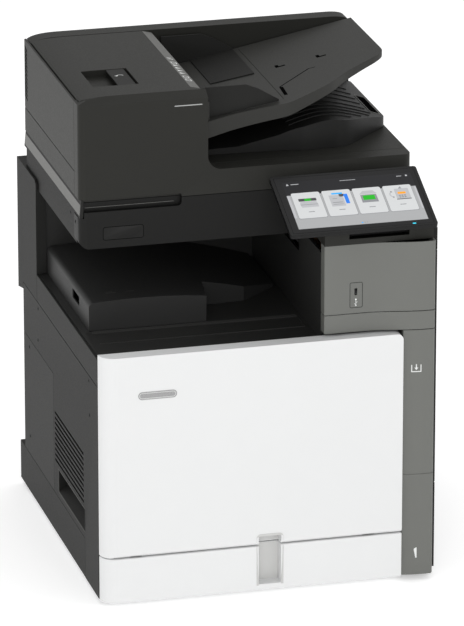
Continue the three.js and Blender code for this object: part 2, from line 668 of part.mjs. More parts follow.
function controlPanel() {
  const { left, width, length, thickness, frontY, frontZ, tilt, rim, ledge } = PANEL;
  const { y, z, barrel, pin } = PANEL_PIVOT;
  const angle = THREE.MathUtils.degToRad(tilt);
  const localY = (y - frontY) * Math.cos(angle) + (z - frontZ) * Math.sin(angle);
  const localZ = -(y - frontY) * Math.sin(angle) + (z - frontZ) * Math.cos(angle);
  const neckLeft = PANEL_PIVOT.left - left;
  const neckRight = PANEL_PIVOT.right - left;
  const plate = prismXY(roundedRect(0, 0, width, length, [5, 5, 5, 5]), -thickness, 0);
  const pocket = box(rim, width - rim, ledge, length - ledge, -PANEL.pocket, CUT);
  const neck = prismYZ(polygon(
    [localY - 13, -thickness + 1],
    [localY - barrel + 1, localZ],
    [localY + barrel - 1, localZ],
    [localY + 20, -thickness + 1],
  ), neckLeft, neckRight);
  const barrelSolid = cylinder('x', barrel, neckLeft, neckRight, [localY, localZ], 20);
  const pins = cylinder('x', pin, neckLeft - 11, neckRight + 11, [localY, localZ], 16);
  const group = new THREE.Group();
  group.position.set(left, frontY, frontZ);
  group.rotation.x = angle;
  const glass = box(
    rim + GAP, width - rim - GAP, ledge + GAP, length - ledge - GAP, -PANEL.pocket + GAP, -0.1,
  );
  group.add(
    node('panel_case', join(cut(plate, pocket), neck, barrelSolid, pins), FINISH.black),
    node('panel_screen', glass, FINISH.screen),
  );
  return group;
}

// ---------------------------------------------------------------- output bin
function exitBracket(y) {
  const plate = box(X_TOWER + 1, EXIT.x + 7, y, y + SKIN, EXIT.z - 8, EXIT.z + 8);
  return cut(plate, cylinder('y', EXIT.shaft + GAP, y - CUT, y + SKIN + CUT, [EXIT.x, EXIT.z], 16));
}

function outputBin() {
  const { floor, wall, back, slotLow, slotHigh, slotFront, slotRear } = BIN;
  const x0 = RAIL_WALL + 0.6;
  const zLow = Z_BIN - floor;
  const high = Z_SCANNER - GAP;
  const body = join(
    box(x0, X_TOWER + wall, Y_COVERS, back + wall, zLow, Z_BIN),
    box(x0, X_TOWER + wall, back, back + wall, zLow, high),
    box(X_TOWER, X_TOWER + wall, TOWER.back + SEAM, back + wall, zLow, high),
  );
  const slot = box(
    X_TOWER - CUT, X_TOWER + wall + CUT, slotFront, slotRear, slotLow, slotHigh,
  );
  const step = box(RAIL_WALL + 8, X_TOWER - 8, 110, BLOCK.front - 6, Z_BIN - 2, Z_BIN + CUT);
  return node('output_bin', join(
    cut(body, slot, step),
    exitBracket(EXIT.front + 2),
    exitBracket(EXIT.rear - 5),
  ), FINISH.black);
}

function outputBlock() {
  const { left, right, front, rear, height, notchLeft, notchRear } = BLOCK;
  const z0 = Z_BIN + GAP;
  const profile = (wall) => {
    const shape = new THREE.Shape();
    shape.moveTo(left + wall, z0 - (wall ? CUT : 0));
    shape.lineTo(left + wall, Z_BIN + height - 12);
    const top = Z_BIN + height - wall;
    shape.quadraticCurveTo(left + wall, top - 3, left + 14, top - 3);
    shape.quadraticCurveTo(left + 110, top + 4, left + 204, top - 6);
    shape.quadraticCurveTo(right - 78, top - 22, right - wall, Z_BIN + 6);
    shape.lineTo(right - wall, z0 - (wall ? CUT : 0));
    return shape;
  };
  const outer = prismXZ(profile(0), front, rear, 6);
  const inner = prismXZ(profile(SKIN), front + SKIN, rear - SKIN, 6);
  const notch = prismXY(polygon(
    [notchLeft, front - CUT],
    [right + CUT, front - CUT],
    [right + CUT, notchRear + 60],
    [notchLeft + 90, notchRear],
    [notchLeft + 12, notchRear - 6],
  ), z0 - CUT, Z_BIN + height + 10);
  const notchWall = prismXY(polygon(
    [notchLeft - SKIN, front],
    [right, front],
    [right, notchRear + 64],
    [notchLeft + 89, notchRear + SKIN],
    [notchLeft + 8, notchRear - 3],
  ), z0, Z_BIN + height + 10);
  const shell = cut(outer, cut(inner, notchWall), notch);
  const finger = box(left - CUT, left + SKIN + CUT, front + 74, front + 124, Z_BIN + 22, Z_BIN + 38);
  return node('output_block', cut(shell, finger), FINISH.black);
}

// ---------------------------------------------------------------- print units inside
function laserUnit() {
  const { left, right, front, rear, height } = LASER;
  const z0 = Z_DOOR + SHEET + 2;
  const shell = openBox([left, right], [front, rear], [z0, z0 + height], SKIN, 'z0');
  const slits = Array.from({ length: TONER.count }, (_, index) => {
    const x = TONER.first + 20 + index * (TONER_PITCH - 12);
    return box(x, x + 6, front + 30, rear - 30, z0 + height - 12, z0 + height + CUT);
  });
  return node('laser_unit', cut(shell, ...slits), FINISH.black);
}

function transferBelt() {
  const { left, right, front, rear, low, high, film, journal } = BELT;
  const radius = (high - low) / 2;
  const loop = (wall) => {
    const ends = radius - wall - 0.01;
    return roundedRect(left + wall, low + wall, right - wall, high - wall, [ends, ends, ends, ends]);
  };
  const belt = cut(prismXZ(loop(0), front, rear), prismXZ(loop(film), front - CUT, rear + CUT));
  const rollers = [left + radius, right - radius].map((x) => (
    cylinder('y', radius - film / 2, front - journal, rear + journal, [x, low + radius], 16)
  ));
  return node('transfer_belt', join(belt, ...rollers), FINISH.amber);
}

function tonerCartridges() {
  const { radius, first, z, front, rear, count } = TONER;
  const length = rear - front;
  const names = ['black', 'cyan', 'magenta', 'yellow'];
  return Array.from({ length: count }, (_, index) => {
    const profile = [
      [0, 0], [radius - 12, 0], [radius - 12, 12], [radius, 14], [radius, length - 40],
      [radius - 8, length - 28], [14, length - 28], [14, length], [0, length],
    ].map(([r, along]) => new THREE.Vector2(r, along));
    const geometry = new THREE.LatheGeometry(profile, 14);
    geometry.translate(first + index * TONER_PITCH, front, z);
    return node(`toner_cartridge_${names[index]}`, toSolid(geometry), FINISH.black);
  });
}

function wasteBottle() {
  const { left, right, front, rear, low, high, wall } = WASTE;
  const shell = openBox([left, right], [front, rear], [low, high], wall, 'y1');
  return node('waste_toner_bottle', shell, FINISH.white);
}

function fuser() {
  const { left, right, front, rear, low, high, wall, roller, shaft } = FUSER;
  const x = (left + right) / 2;
  const zPressure = low + 4 + roller + 2;
  const zHeat = zPressure + 2 * roller + 2;
  const ends = [front, rear - wall].map((y) => cut(
    box(left, right, y, y + wall, low, high),
    cylinder('y', shaft + 0.4, y - CUT, y + wall + CUT, [x, zHeat], 12),
    cylinder('y', shaft + 0.4, y - CUT, y + wall + CUT, [x, zPressure], 12),
  ));
  const cage = join(
    box(left, right, front, rear, low, low + SKIN),
    box(left, left + SKIN, front, rear, low, high - 20),
    box(right - SKIN, right, front, rear, low, high - 30),
    ...ends,
  );
  const makeRoller = (z) => join(
    cylinder('y', roller, front + wall + 3, rear - wall - 3, [x, z], 20),
    cylinder('y', shaft, front - 4, rear + 4, [x, z], 12),
  );
  return [
    node('fuser_frame', cage, FINISH.steel),
    node('fuser_heat_roller', makeRoller(zHeat), FINISH.amber),
    node('fuser_pressure_roller', makeRoller(zPressure), FINISH.rubber),
  ];
}

function exitRoller() {
  const { x, z, tyre, tyreWidth, shaft, front, rear } = EXIT;
  const starts = [front + 33, front + 98, rear - 100, rear - 35];
  const tyres = starts.map((y) => cylinder('y', tyre, y, y + tyreWidth, [x, z], 12));
  return node('exit_roller', join(cylinder('y', shaft, front, rear, [x, z], 12), ...tyres), FINISH.rubber);
}

function pickupRoller() {
  const { x, z, radius, shaft, front, rear } = PICKUP;
  const middle = (front + rear) / 2;
  return node('pickup_roller', join(
    cylinder('y', shaft, front, rear, [x, z], 16),
    cylinder('y', radius, middle - 20, middle + 20, [x, z], 24),
  ), FINISH.rubber);
}

function fanRotor() {
  const { x, y, z, radius, hub, blades } = FAN;
  const root = hub - 1;
  const core = cut(
    cylinder('x', hub, x + 1, x + 16, [y, z], 20),
    cylinder('x', 3, x + 3, x + 17, [y, z], 12),
  );
  const vanes = Array.from({ length: blades }, (_, index) => {
    const vane = new THREE.BoxGeometry(10, 2, radius - root);
    vane.rotateZ(0.6);
    vane.translate(0, 0, root + (radius - root) / 2);
    vane.rotateX((index * Math.PI * 2) / blades);
    vane.translate(x + 8.5, y, z);
    return toSolid(vane);
  });
  return node('fan_rotor', join(core, ...vanes), FINISH.black);
}

// ---------------------------------------------------------------- front door and drawer
// The plan outline of the door and the drawer front: flat, with the left edge wrapped round.
function wrappedOutline(wall, back) {
  const shape = new THREE.Shape();
  const radius = WRAP - wall;
  shape.moveTo(wall, back);
  shape.lineTo(wall, WRAP);
  shape.absarc(WRAP, WRAP, radius, Math.PI, Math.PI * 1.5, false);
  shape.lineTo(X_DOOR - wall, wall);
  shape.lineTo(X_DOOR - wall, back);
  return shape;
}

function wrappedTub(z0, z1) {
  const outer = prismXY(wrappedOutline(0, WRAP), z0, z1, 12);
  const inner = prismXY(wrappedOutline(SKIN, WRAP + CUT), z0 + SKIN, z1 - SKIN, 12);
  return cut(outer, inner);
}

function handleBlock(z0, z1) {
  const { left, right, depth, wall } = RECESS;
  return box(left - wall, right + wall, CUT, depth + SKIN, z0, z1);
}

function handleCut(z0, z1) {
  const { left, right, depth } = RECESS;
  return box(left, right, -CUT, depth, z0, z1);
}

function doorPivotPin(x, towards) {
  const { y, rise, pin, eye } = DOOR_PIVOT;
  const z = Z_DOOR + rise;
  const ear = box(x - 2, x + 2, CUT, y + eye + 2, Z_DOOR + 1, z + eye + 2);
  const from = towards > 0 ? x : x - 13;
  return join(ear, cylinder('x', pin, from, from + 13, [y, z], 12));
}

// The plate that closes the door's back, with notches for the frame's hinge arms.
function doorLiner() {
  const margin = SKIN + 1;
  const plate = box(
    WRAP + 2, X_DOOR - 1, RECESS.depth + SKIN + 0.8, WRAP - 0.5, Z_DOOR + margin, Z_DOOR_TOP - 14,
  );
  const { inset: pivotInset, arm } = DOOR_PIVOT;
  const top = Z_DOOR + 18;
  const rightEdge = X_DOOR - pivotInset;
  return cut(
    plate,
    box(pivotInset - 3, pivotInset + arm + 12, RECESS.depth, WRAP + CUT, Z_DOOR, top),
    box(rightEdge - arm - 12, rightEdge + 3, RECESS.depth, WRAP + CUT, Z_DOOR, top),
  );
}

function frontDoor() {
  const corner = 11;
  const silhouette = prismXZ(
    roundedRect(-CUT, Z_DOOR, X_DOOR, Z_DOOR_TOP, [0, 0, corner, 0]), -CUT, WRAP + CUT,
  );
  const { chamfer, inset: pivotInset, arm } = DOOR_PIVOT;
  const edge = prismYZ(polygon(
    [-CUT, Z_DOOR - CUT],
    [chamfer, Z_DOOR - CUT],
    [chamfer, Z_DOOR],
    [0, Z_DOOR + chamfer],
    [-CUT, Z_DOOR + chamfer],
  ), -CUT, WIDTH);
  const rightEdge = X_DOOR - pivotInset;
  const notch = (x0, x1) => box(x0, x1, SKIN, WRAP + CUT, Z_DOOR - CUT, Z_DOOR + SKIN + CUT);
  const tub = wrappedTub(Z_DOOR, Z_DOOR_TOP).intersect(silhouette);
  const body = cut(
    join(tub, handleBlock(Z_DOOR + 0.5, RECESS.high + RECESS.wall)),
    handleCut(Z_DOOR - CUT, RECESS.high),
    notch(pivotInset - 1, pivotInset + arm + 12),
    notch(rightEdge - arm - 12, rightEdge + 1),
  );
  const pins = [doorPivotPin(pivotInset, 1), doorPivotPin(rightEdge, -1)];
  return node('front_door', cut(join(body, doorLiner(), ...pins), edge), FINISH.white);
}

function drawerFront() {
  const body = join(wrappedTub(Z_BASE, Z_DRAWER), handleBlock(Z_BASE + 0.5, Z_DRAWER - 0.5));
  return node('drawer_front', cut(body, handleCut(RECESS.low, Z_DRAWER + CUT)), FINISH.white);
}

function drawerTray() {
  const { left, right, rear, low, high, wall } = DRAWER;
  const tub = openBox([left, right], [WRAP + 0.4, rear], [low, high], wall, 'z1');
  const runnerZ = RUNNER.low + RUNNER.thickness + SEAM;
  const runner = (x0, x1) => box(x0, x1, RUNNER.front + 10, rear - 10, runnerZ, runnerZ + 4);
  const runners = join(runner(left - 2.4, left + 1), runner(right - 1, right + 2.4));
  return node('drawer_tray', join(tub, runners), FINISH.black);
}

function liftPlate() {
  const { left, right, front, rear, sheet } = LIFT;
  const z = DRAWER.low + DRAWER.wall + 2;
  const plate = join(
    box(left, right, front, rear, z, z + sheet),
    cylinder('y', 2.6, front, rear, [left, z + 1.2], 12),
  );
  return node('drawer_lift_plate', plate, FINISH.steel);
}

function endGuide() {
  const { x, wall, middle, half, foot } = END_GUIDE;
  const z = DRAWER.low + DRAWER.wall + 0.4;
  return node('drawer_end_guide', join(
    box(x, x + wall, middle - half, middle + half, z, DRAWER.high - 8),
    box(x - 28, x + wall - 1, middle - foot, middle + foot, z, z + 6),
  ), FINISH.charcoal);
}

// ---------------------------------------------------------------- scanner
function scannerBase() {
  const x0 = RAIL_WALL + 0.5;
  const x1 = WIDTH - SEAM;
  const y0 = SCANNER_Y + 40.6;
  const y1 = Y_LID_REAR + 13;
  const top = Z_LID - 2;
  const tub = cut(
    box(x0, x1, y0, y1, Z_SCANNER, top),
    box(x0 + SKIN, x1 - SKIN, y0 + SKIN, y1 - SKIN, Z_SCANNER + SKIN, top - 9),
    box(GLASS.left + 6, GLASS.right - 6, GLASS.front + 4, GLASS.rear - 4, top - 10, top + CUT),
    box(GLASS.left, GLASS.right, GLASS.front, GLASS.rear, top - GLASS.thickness - GAP, top + CUT),
  );
  const rod = cylinder('x', CARRIAGE.rod, x0 + 1, x1 - 1, [CARRIAGE.rodY, Z_SCANNER + CARRIAGE.rodZ], 12);
  const strip = prismXZ(polygon(
    [x0 + 1, Z_SCANNER + STRIP.low],
    [1, Z_SCANNER + STRIP.low],
    [1 + STRIP.lean, Z_LID + STRIP.top],
    [x0 + 2.5, Z_LID + STRIP.top],
    [x0 + 2.5, Z_SCANNER + STRIP.low + 4],
  ), SCANNER_Y + 2, y1);
  return node('scanner_base', join(tub, rod, strip, ...lidHingeEars()), FINISH.charcoal);
}

function lidHingeEars() {
  const { y, rise, ear, pin, half } = HINGE;
  const z = Z_LID + rise;
  return [HINGE.inset, WIDTH - HINGE.inset].flatMap((x) => [-half - 12.6, half + 0.6].map((shift) => {
    const from = x + shift;
    const plate = join(
      box(from, from + 12, y - ear + 1.5, y + 4, Z_LID - 12, z),
      cylinder('x', ear, from, from + 12, [y, z], 12),
    );
    return cut(plate, cylinder('x', pin + 0.4, from - CUT, from + 12 + CUT, [y, z], 12));
  }));
}

function lidHingeKnuckles() {
  const { y, rise, barrel, pin, half } = HINGE;
  const z = Z_LID + rise;
  return [HINGE.inset, WIDTH - HINGE.inset].map((x) => join(
    box(x - half, x + half, Y_LID_REAR - 4, y, z - 3, z + 4),
    cylinder('x', barrel, x - half, x + half, [y, z], 12),
    cylinder('x', pin, x - half - 10, x + half + 10, [y, z], 12),
  ));
}

function scannerBezel() {
  const y0 = SCANNER_Y;
  const y1 = SCANNER_Y + 40;
  const top = Z_LID - 0.6;
  const plan = prismXY(roundedRect(0, y0, WIDTH, y1, [15, 15, 0, 0]), Z_SCANNER, top, 10);
  const face = prismXZ(roundedRect(0, Z_SCANNER, WIDTH, top, [18, 8, 0, 0]), y0 - CUT, y1 + CUT);
  const hollow = box(12, WIDTH - SKIN, y0 + 15, y1 + CUT, Z_SCANNER + SKIN, top - SKIN);
  const grip = prismXZ(
    roundedRect(-CUT, Z_LID - 16, LID_GRIP, Z_LID + CUT, [0, 7.5, 0, 0]), y0 - CUT, y0 + 9,
  );
  const stripRoom = prismXZ(polygon(
    [-CUT, Z_SCANNER + STRIP.low - 0.6],
    [9, Z_SCANNER + STRIP.low - 0.6],
    [9, Z_LID],
    [-CUT, Z_LID],
  ), SCANNER_Y + 1.4, y1 + CUT);
  return node('scanner_bezel', cut(plan.intersect(face), hollow, grip, stripRoom), FINISH.charcoal);
}

function platenGlass() {
  const top = Z_LID - 2;
  const { left, right, front, rear, thickness } = GLASS;
  const pane = box(left + GAP, right - GAP, front + GAP, rear - GAP, top - thickness, top);
  return node('platen_glass', pane, FINISH.glass);
}

function scanCarriage() {
  const { x, width, low, high, rodY, rodZ, rod } = CARRIAGE;
  const body = box(x, x + width, GLASS.front + 6, GLASS.rear - 6, Z_SCANNER + low, Z_SCANNER + high);
  const saddle = box(x, x + width, rodY - 14, rodY + 14, Z_SCANNER + rodZ - 2, Z_SCANNER + low + 2);
  const groove = cylinder('x', rod + 0.8, x - CUT, x + width + CUT, [rodY, Z_SCANNER + rodZ], 16);
  const lensTop = Z_SCANNER + high;
  const window = box(
    x + 12, x + 20, GLASS.front + 14, GLASS.rear - 14, lensTop - 6, lensTop + CUT,
  );
  return node('scan_carriage', cut(join(body, saddle), groove, window), FINISH.black);
}

// ---------------------------------------------------------------- lid and document feeder
function lidPlate() {
  const x0 = RAIL_WALL + 4.3;
  const x1 = WIDTH - SEAM;
  const y0 = Y_FEED;
  const slab = cut(
    box(x0, x1, y0, Y_LID_REAR, Z_LID, Z_FEEDER),
    box(x0 + SKIN, x1 - SKIN, y0 + SKIN, Y_LID_REAR + CUT, Z_LID + SKIN, Z_FEEDER - SKIN),
  );
  const sidePanel = box(0, x0 + SKIN, y0, Y_LID_REAR, Z_LID + STRIP.top + 0.6, Z_FEEDER + 4.5);
  const relief = box(
    FEEDER.side, x0 + SKIN + CUT, y0 - CUT, Y_LID_REAR + CUT, Z_FEEDER, Z_FEEDER + 5,
  );
  return node('lid_plate', join(slab, cut(sidePanel, relief), ...lidHingeKnuckles()), FINISH.black);
}

function platenPad() {
  const margin = 26;
  const pad = box(
    margin, WIDTH - margin, Y_FEED + 15, Y_LID_REAR - 30, Z_LID - 1.6, Z_LID - GAP,
  );
  return node('platen_pad', pad, FINISH.pad);
}

// The front cover of the lid and of the feeder above it is one L-shaped moulding.
function lidFrontCover() {
  const { shoulder, bevel, top, fillet, frontDepth } = FEEDER;
  const y0 = SCANNER_Y;
  const y1 = SCANNER_Y + frontDepth;
  const zLow = Z_LID + 0.4;
  const outline = (wall) => {
    const shape = new THREE.Shape();
    shape.moveTo(wall, zLow + wall);
    shape.lineTo(WIDTH - SEAM - wall, zLow + wall);
    shape.lineTo(WIDTH - SEAM - wall, Z_FEEDER - wall);
    const centre = [shoulder - wall + fillet, Z_FEEDER - wall + fillet];
    shape.absarc(...centre, fillet, -Math.PI / 2, -Math.PI, true);
    shape.lineTo(shoulder - wall, Z_TOP - wall);
    shape.lineTo(CROWN.width, Z_TOP - wall);
    shape.quadraticCurveTo(CROWN.control + wall, Z_TOP - wall, wall, Z_TOP - CROWN.drop - wall);
    return shape;
  };
  const lipTop = Z_LID + STRIP.top;
  const inner = box(5, WIDTH - 5, y0 + SKIN, y1 + CUT, lipTop + SKIN + 1, Z_TOP + CUT);
  const bevelTool = (drop) => prismYZ(polygon(
    [y0 - CUT, Z_TOP - top - 0.6 - drop],
    [y0 + bevel, Z_TOP - drop],
    [y0 + bevel, Z_TOP + CUT],
    [y0 - CUT, Z_TOP + CUT],
  ), -CUT, WIDTH);
  const lip = prismXZ(
    roundedRect(-CUT, Z_LID - CUT, LID_GRIP, lipTop, [0, 0, 4, 0]), y0 - CUT, y0 + 9,
  );
  const stripRoom = box(-CUT, 9, y0 + 1.4, y1 + CUT, Z_LID - CUT, lipTop + 0.6);
  const coverRoom = box(
    FEEDER.side, shoulder + CUT, y0 + bevel, y1 + CUT, Z_TOP - bevel, Z_TOP + CUT,
  );
  const plan = (wall) => prismXY(roundedRect(
    wall, y0 + wall, WIDTH - SEAM - wall, y1 + 2 * CUT,
    [FRONT_CORNER - wall, FRONT_CORNER - wall, 0, 0],
  ), zLow - CUT, Z_TOP + CUT, 8);
  const hollow = prismXZ(outline(SKIN), y0 + SKIN, y1 + CUT, 10).intersect(inner);
  const shell = cut(
    prismXZ(outline(0), y0, y1, 10).intersect(plan(0)),
    cut(hollow.intersect(plan(SKIN)), bevelTool(2 * SKIN)),
    bevelTool(0),
    lip,
    stripRoom,
    coverRoom,
  );
  return node('lid_front_cover', shell, FINISH.black);
}

function feederSidePanel() {
  const low = Z_FEEDER + 4.5 + SEAM;
  const plate = box(0, FEEDER.side, Y_FEED, Y_LID_REAR, low, Z_TOP - 9);
  return node('feeder_side_panel', plate, FINISH.black);
}

function feederChassis() {
  const x0 = FEEDER.side + SEAM;
  const x1 = FEEDER_W + 4;
  const y0 = Y_FEED;
  const { front, right, curve, fall } = BACK_RAIL;
  const railShape = (wall) => {
    const low = Z_FEEDER + GAP - (wall ? CUT : 0);
    const shape = new THREE.Shape();
    shape.moveTo(x0 + wall, low);
    shape.lineTo(right - wall, low);
    shape.lineTo(right - wall, Z_TOP - fall - wall);
    shape.quadraticCurveTo(right - wall, Z_TOP - wall, right - curve, Z_TOP - wall);
    shape.lineTo(CROWN.width, Z_TOP - wall);
    shape.quadraticCurveTo(CROWN.control + wall, Z_TOP - wall, x0 + wall, Z_TOP - CROWN.drop - wall);
    return shape;
  };
  const rail = cut(
    prismXZ(railShape(0), front, Y_LID_REAR, 10),
    prismXZ(railShape(SKIN), front + SKIN, Y_LID_REAR - SKIN, 10),
  );
  const deck = FEED_ROLLER.z - FEED_ROLLER.radius - 8;
  const plates = join(
    box(x0, x1, y0, y0 + SKIN, Z_FEEDER + 6, Z_TOP - 22),
    box(x0, x1, y0, front + SKIN, Z_FEEDER + 6, Z_FEEDER + 9),
    box(60, x1 + 2, y0 + 12, front - 14, deck, deck + SKIN),
    box(100, 104, y0, front + SKIN, Z_FEEDER + 8, deck + 1),
  );
  const through = (radius, { x, z }) => (
    cylinder('y', radius + 0.4, y0 - CUT, front + SKIN + CUT, [x, z], 16)
  );
  const { x, z, pin } = TRAY_HINGE;
  const hingeTab = box(x1 - 14, x + 7, y0, y0 + SKIN, z - 7, z + 7);
  return node('feeder_chassis', cut(
    join(rail, plates, hingeTab),
    through(FEED_ROLLER.shaft, FEED_ROLLER),
    through(pin, TRAY_HINGE),
  ), FINISH.black);
}

function feedRoller() {
  const { x, z, shaft, radius, tyres, tyre } = FEED_ROLLER;
  return node('feeder_roller', join(
    cylinder('y', shaft, Y_FEED + 0.5, BACK_RAIL.front + 2, [x, z], 16),
    ...tyres.map((y) => cylinder('y', radius, y, y + tyre, [x, z], 20)),
  ), FINISH.rubber);
}

// The tray that catches fed originals: a raised, ribbed deck with a cut-away front right corner.
function outputTray() {
  const rear = BACK_RAIL.front - 4;
  const edge = smoothed([
    [0, 45], [149, 39], [190, 30], [230, 31], [268, 39], [321, 91], [353, 123], [357, 139],
  ], 26).map(([x, y]) => [x, Y_FEED + y]);
  const outline = stretched([...edge, [357, rear], [0, rear]], FEEDER_W + 8, WIDTH - 3);
  const low = Z_FEEDER + GAP;
  const crown = stretched(
    [[0, 9], [78, 12], [150, 28], [208, 50], [238, 51], [278, 50], [368, 17]], FEEDER_W, WIDTH,
  );
  const profile = (wall) => {
    const [a, b, c, d, e, f, g] = crown.map(([x, rise]) => [x, Z_FEEDER + rise - wall]);
    const shape = new THREE.Shape();
    shape.moveTo(a[0], low - (wall ? CUT : 0));
    shape.lineTo(...a);
    shape.lineTo(...b);
    shape.lineTo(...c);
    shape.quadraticCurveTo(...d, ...e);
    shape.quadraticCurveTo(...f, ...g);
    shape.lineTo(g[0], low - (wall ? CUT : 0));
    return shape;
  };
  const band = (wall) => prismXZ(profile(wall), Y_FEED, BACK_RAIL.front, 6);
  const outer = prismXY(polygon(...outline), low, Z_TOP).intersect(band(0));
  const inner = prismXY(polygon(...inset(outline, SKIN)), low - CUT, Z_TOP).intersect(band(SKIN));
  const ribs = { first: Y_FEED + 145, last: rear - 50, count: 6, width: 3, proud: 1.6 };
  const bars = Array.from({ length: ribs.count }, (_, index) => {
    const y = ribs.first + (index * (ribs.last - ribs.first)) / (ribs.count - 1);
    const bar = prismXZ(profile(0), y, y + ribs.width, 6).translate(0, 0, ribs.proud);
    return bar.intersect(box(crown[1][0], WIDTH - 34, y, y + ribs.width, Z_FEEDER + 12, Z_TOP));
  });
  return node('feeder_output_tray', join(cut(outer, inner), ...bars), FINISH.black);
}

function topCover() {
  const y0 = SCANNER_Y + FEEDER.bevel + SEAM / 2;
  const y1 = BACK_RAIL.front - 2 * SEAM;
  const hinge = { x: 10, z: Z_TOP - 9, radius: 4.5 };
  const slope = FEEDER_W - 18;
  const shape = new THREE.Shape();
  shape.moveTo(hinge.x, hinge.z - hinge.radius);
  shape.absarc(hinge.x, hinge.z, hinge.radius, -Math.PI / 2, Math.PI / 2, true);
  shape.quadraticCurveTo(CROWN.control + 10, Z_TOP - 0.4, CROWN.width, Z_TOP);
  shape.lineTo(slope, Z_TOP);
  shape.lineTo(FEEDER_W, Z_TOP - 4);
  shape.lineTo(FEEDER_W, Z_TOP - 16);
  shape.lineTo(FEEDER_W - SKIN, Z_TOP - 16);
  shape.lineTo(FEEDER_W - SKIN, Z_TOP - 7);
  shape.lineTo(slope, Z_TOP - SKIN);
  shape.lineTo(54, Z_TOP - SKIN);
  shape.lineTo(30, Z_TOP - SKIN - 2);
  const { left, right, front, rear, depth } = LATCH;
  const pocket = box(left - 2, right + 2, front - 2, rear + 2, Z_TOP - depth - 2, Z_TOP - 1);
  const well = box(left, right, front, rear, Z_TOP - depth, Z_TOP + CUT);
  return node('feeder_top_cover', cut(join(prismXZ(shape, y0, y1, 10), pocket), well), FINISH.black);
}

function latchLever() {
  const { lever, right, front, rear } = LATCH;
  const plate = box(lever, right - 6, front + PLAY, rear - PLAY, Z_TOP - 3.4, Z_TOP - 0.6);
  const knuckle = cylinder('y', 2.4, front + PLAY, rear - PLAY, [right - 6, Z_TOP - 3.2], 12);
  return node('feeder_latch', join(plate, knuckle), FINISH.charcoal);
}

// The input tray rises to the right in two slopes; its front edge sweeps back to the right.
const TRAY = { left: FEEDER_W + 12, right: WIDTH - 5, rear: BACK_RAIL.front - 9 };
const TRAY_TOP = stretched([[0, Z_TOP - 66], [142, Z_TOP - 42], [351, Z_TOP - 1]], TRAY.left, TRAY.right);
const TRAY_FRONT = smoothed([
  [0, -1], [48, 6], [96, 4], [142, -2], [174, 9], [230, 39], [266, 71], [303, 95], [334, 113], [349, 131],
  [351, 158],
], 36).map(([x, y]) => [x, Y_FEED + y]);
const TRAY_EDGE = stretched([...TRAY_FRONT, [351, TRAY.rear], [0, TRAY.rear]], TRAY.left, TRAY.right);

// The tray's upper surface on its first slope.
function trayRise(x) {
  const [[xa, za], [xb, zb]] = TRAY_TOP;
  return za + ((x - xa) * (zb - za)) / (xb - xa);
}

function trayBand(topDrop, bottomDrop) {
  const [[xa, za], [xb, zb], [xc, zc]] = TRAY_TOP;
  const [a, b, c] = bottomDrop;
  return prismXZ(polygon(
    [xa - 2, za - topDrop],
    [xa - 2, za - a],
    [xb, zb - b],
    [xc + 2, zc - c],
    [xc + 2, zc - topDrop],
    [xb, zb - topDrop],
  ), SCANNER_Y, BACK_RAIL.front);
}

function inputTray() {
  const { x, z, pin } = TRAY_HINGE;
  const under = Z_FEEDER - CUT;
  const over = Z_TOP + SKIN;
  const outer = prismXY(polygon(...TRAY_EDGE), under, over).intersect(trayBand(0, [30, 24, 10]));
  const inner = prismXY(polygon(...inset(TRAY_EDGE, SKIN)), under, over)
    .intersect(trayBand(SKIN, [40, 34, 20]));
  const ear = (y) => join(
    box(x - 2, TRAY.left + 6, y, y + SKIN, z - 42, z),
    box(x - 6, x + 8, y, y + SKIN, z - 32, z),
    cylinder('y', 6, y, y + SKIN, [x, z], 16),
  );
  const frontEar = Y_FEED + 5;
  const rearEar = BACK_RAIL.front - 12;
  const pins = join(
    cylinder('y', pin, Y_FEED + 0.4, frontEar + 1, [x, z], 12),
    cylinder('y', pin, rearEar + 2, BACK_RAIL.front + 2.4, [x, z], 12),
  );
  const seam = TRAY_TOP[1][0];
  const groove = box(seam - 1, seam + 1, Y_FEED + 24, BACK_RAIL.front - 20, under, over)
    .intersect(trayBand(-1, [1, 1, 1]));
  const shell = cut(cut(outer, inner), groove);
  return node('input_tray', join(shell, ear(frontEar), ear(rearEar), pins), FINISH.black);
}

const GUIDE = {
  left: TRAY.left + 2, right: TRAY_TOP[1][0] - 10, top: Z_TOP - 9, lift: 0.86, clear: 0.5, flange: 1.8,
  front: Y_FEED + 16, rear: BACK_RAIL.front - 18,
};

function guideWall(y) {
  const { left, right, top, lift } = GUIDE;
  return prismXZ(polygon(
    [left, trayRise(left) + lift],
    [right, trayRise(right) + lift],
    [right, trayRise(right) + lift + SKIN],
    [right - 36, top - 9],
    [right - 58, top],
    [left, top],
  ), y, y + SKIN);
}

function guideFlange(x0, x1, y0, y1) {
  const low = (x) => trayRise(x) + GUIDE.clear;
  return prismXZ(polygon(
    [x0, low(x0)],
    [x1, low(x1)],
    [x1, low(x1) + GUIDE.flange],
    [x0, low(x0) + GUIDE.flange],
  ), y0, y1);
}

function paperGuides() {
  const { left, right, front, rear } = GUIDE;
  const middle = (front + rear + SKIN) / 2;
  const split = left + 49;
  const frontFlange = guideFlange(left + 1, split - 2, front + 1, middle - 8);
  const rearFlange = guideFlange(split + 2, right, middle + 8, rear + 1);
  return [
    node('guide_front', join(guideWall(front), frontFlange), FINISH.charcoal),
    node('guide_rear', join(guideWall(rear), rearFlange), FINISH.charcoal),
  ];
}

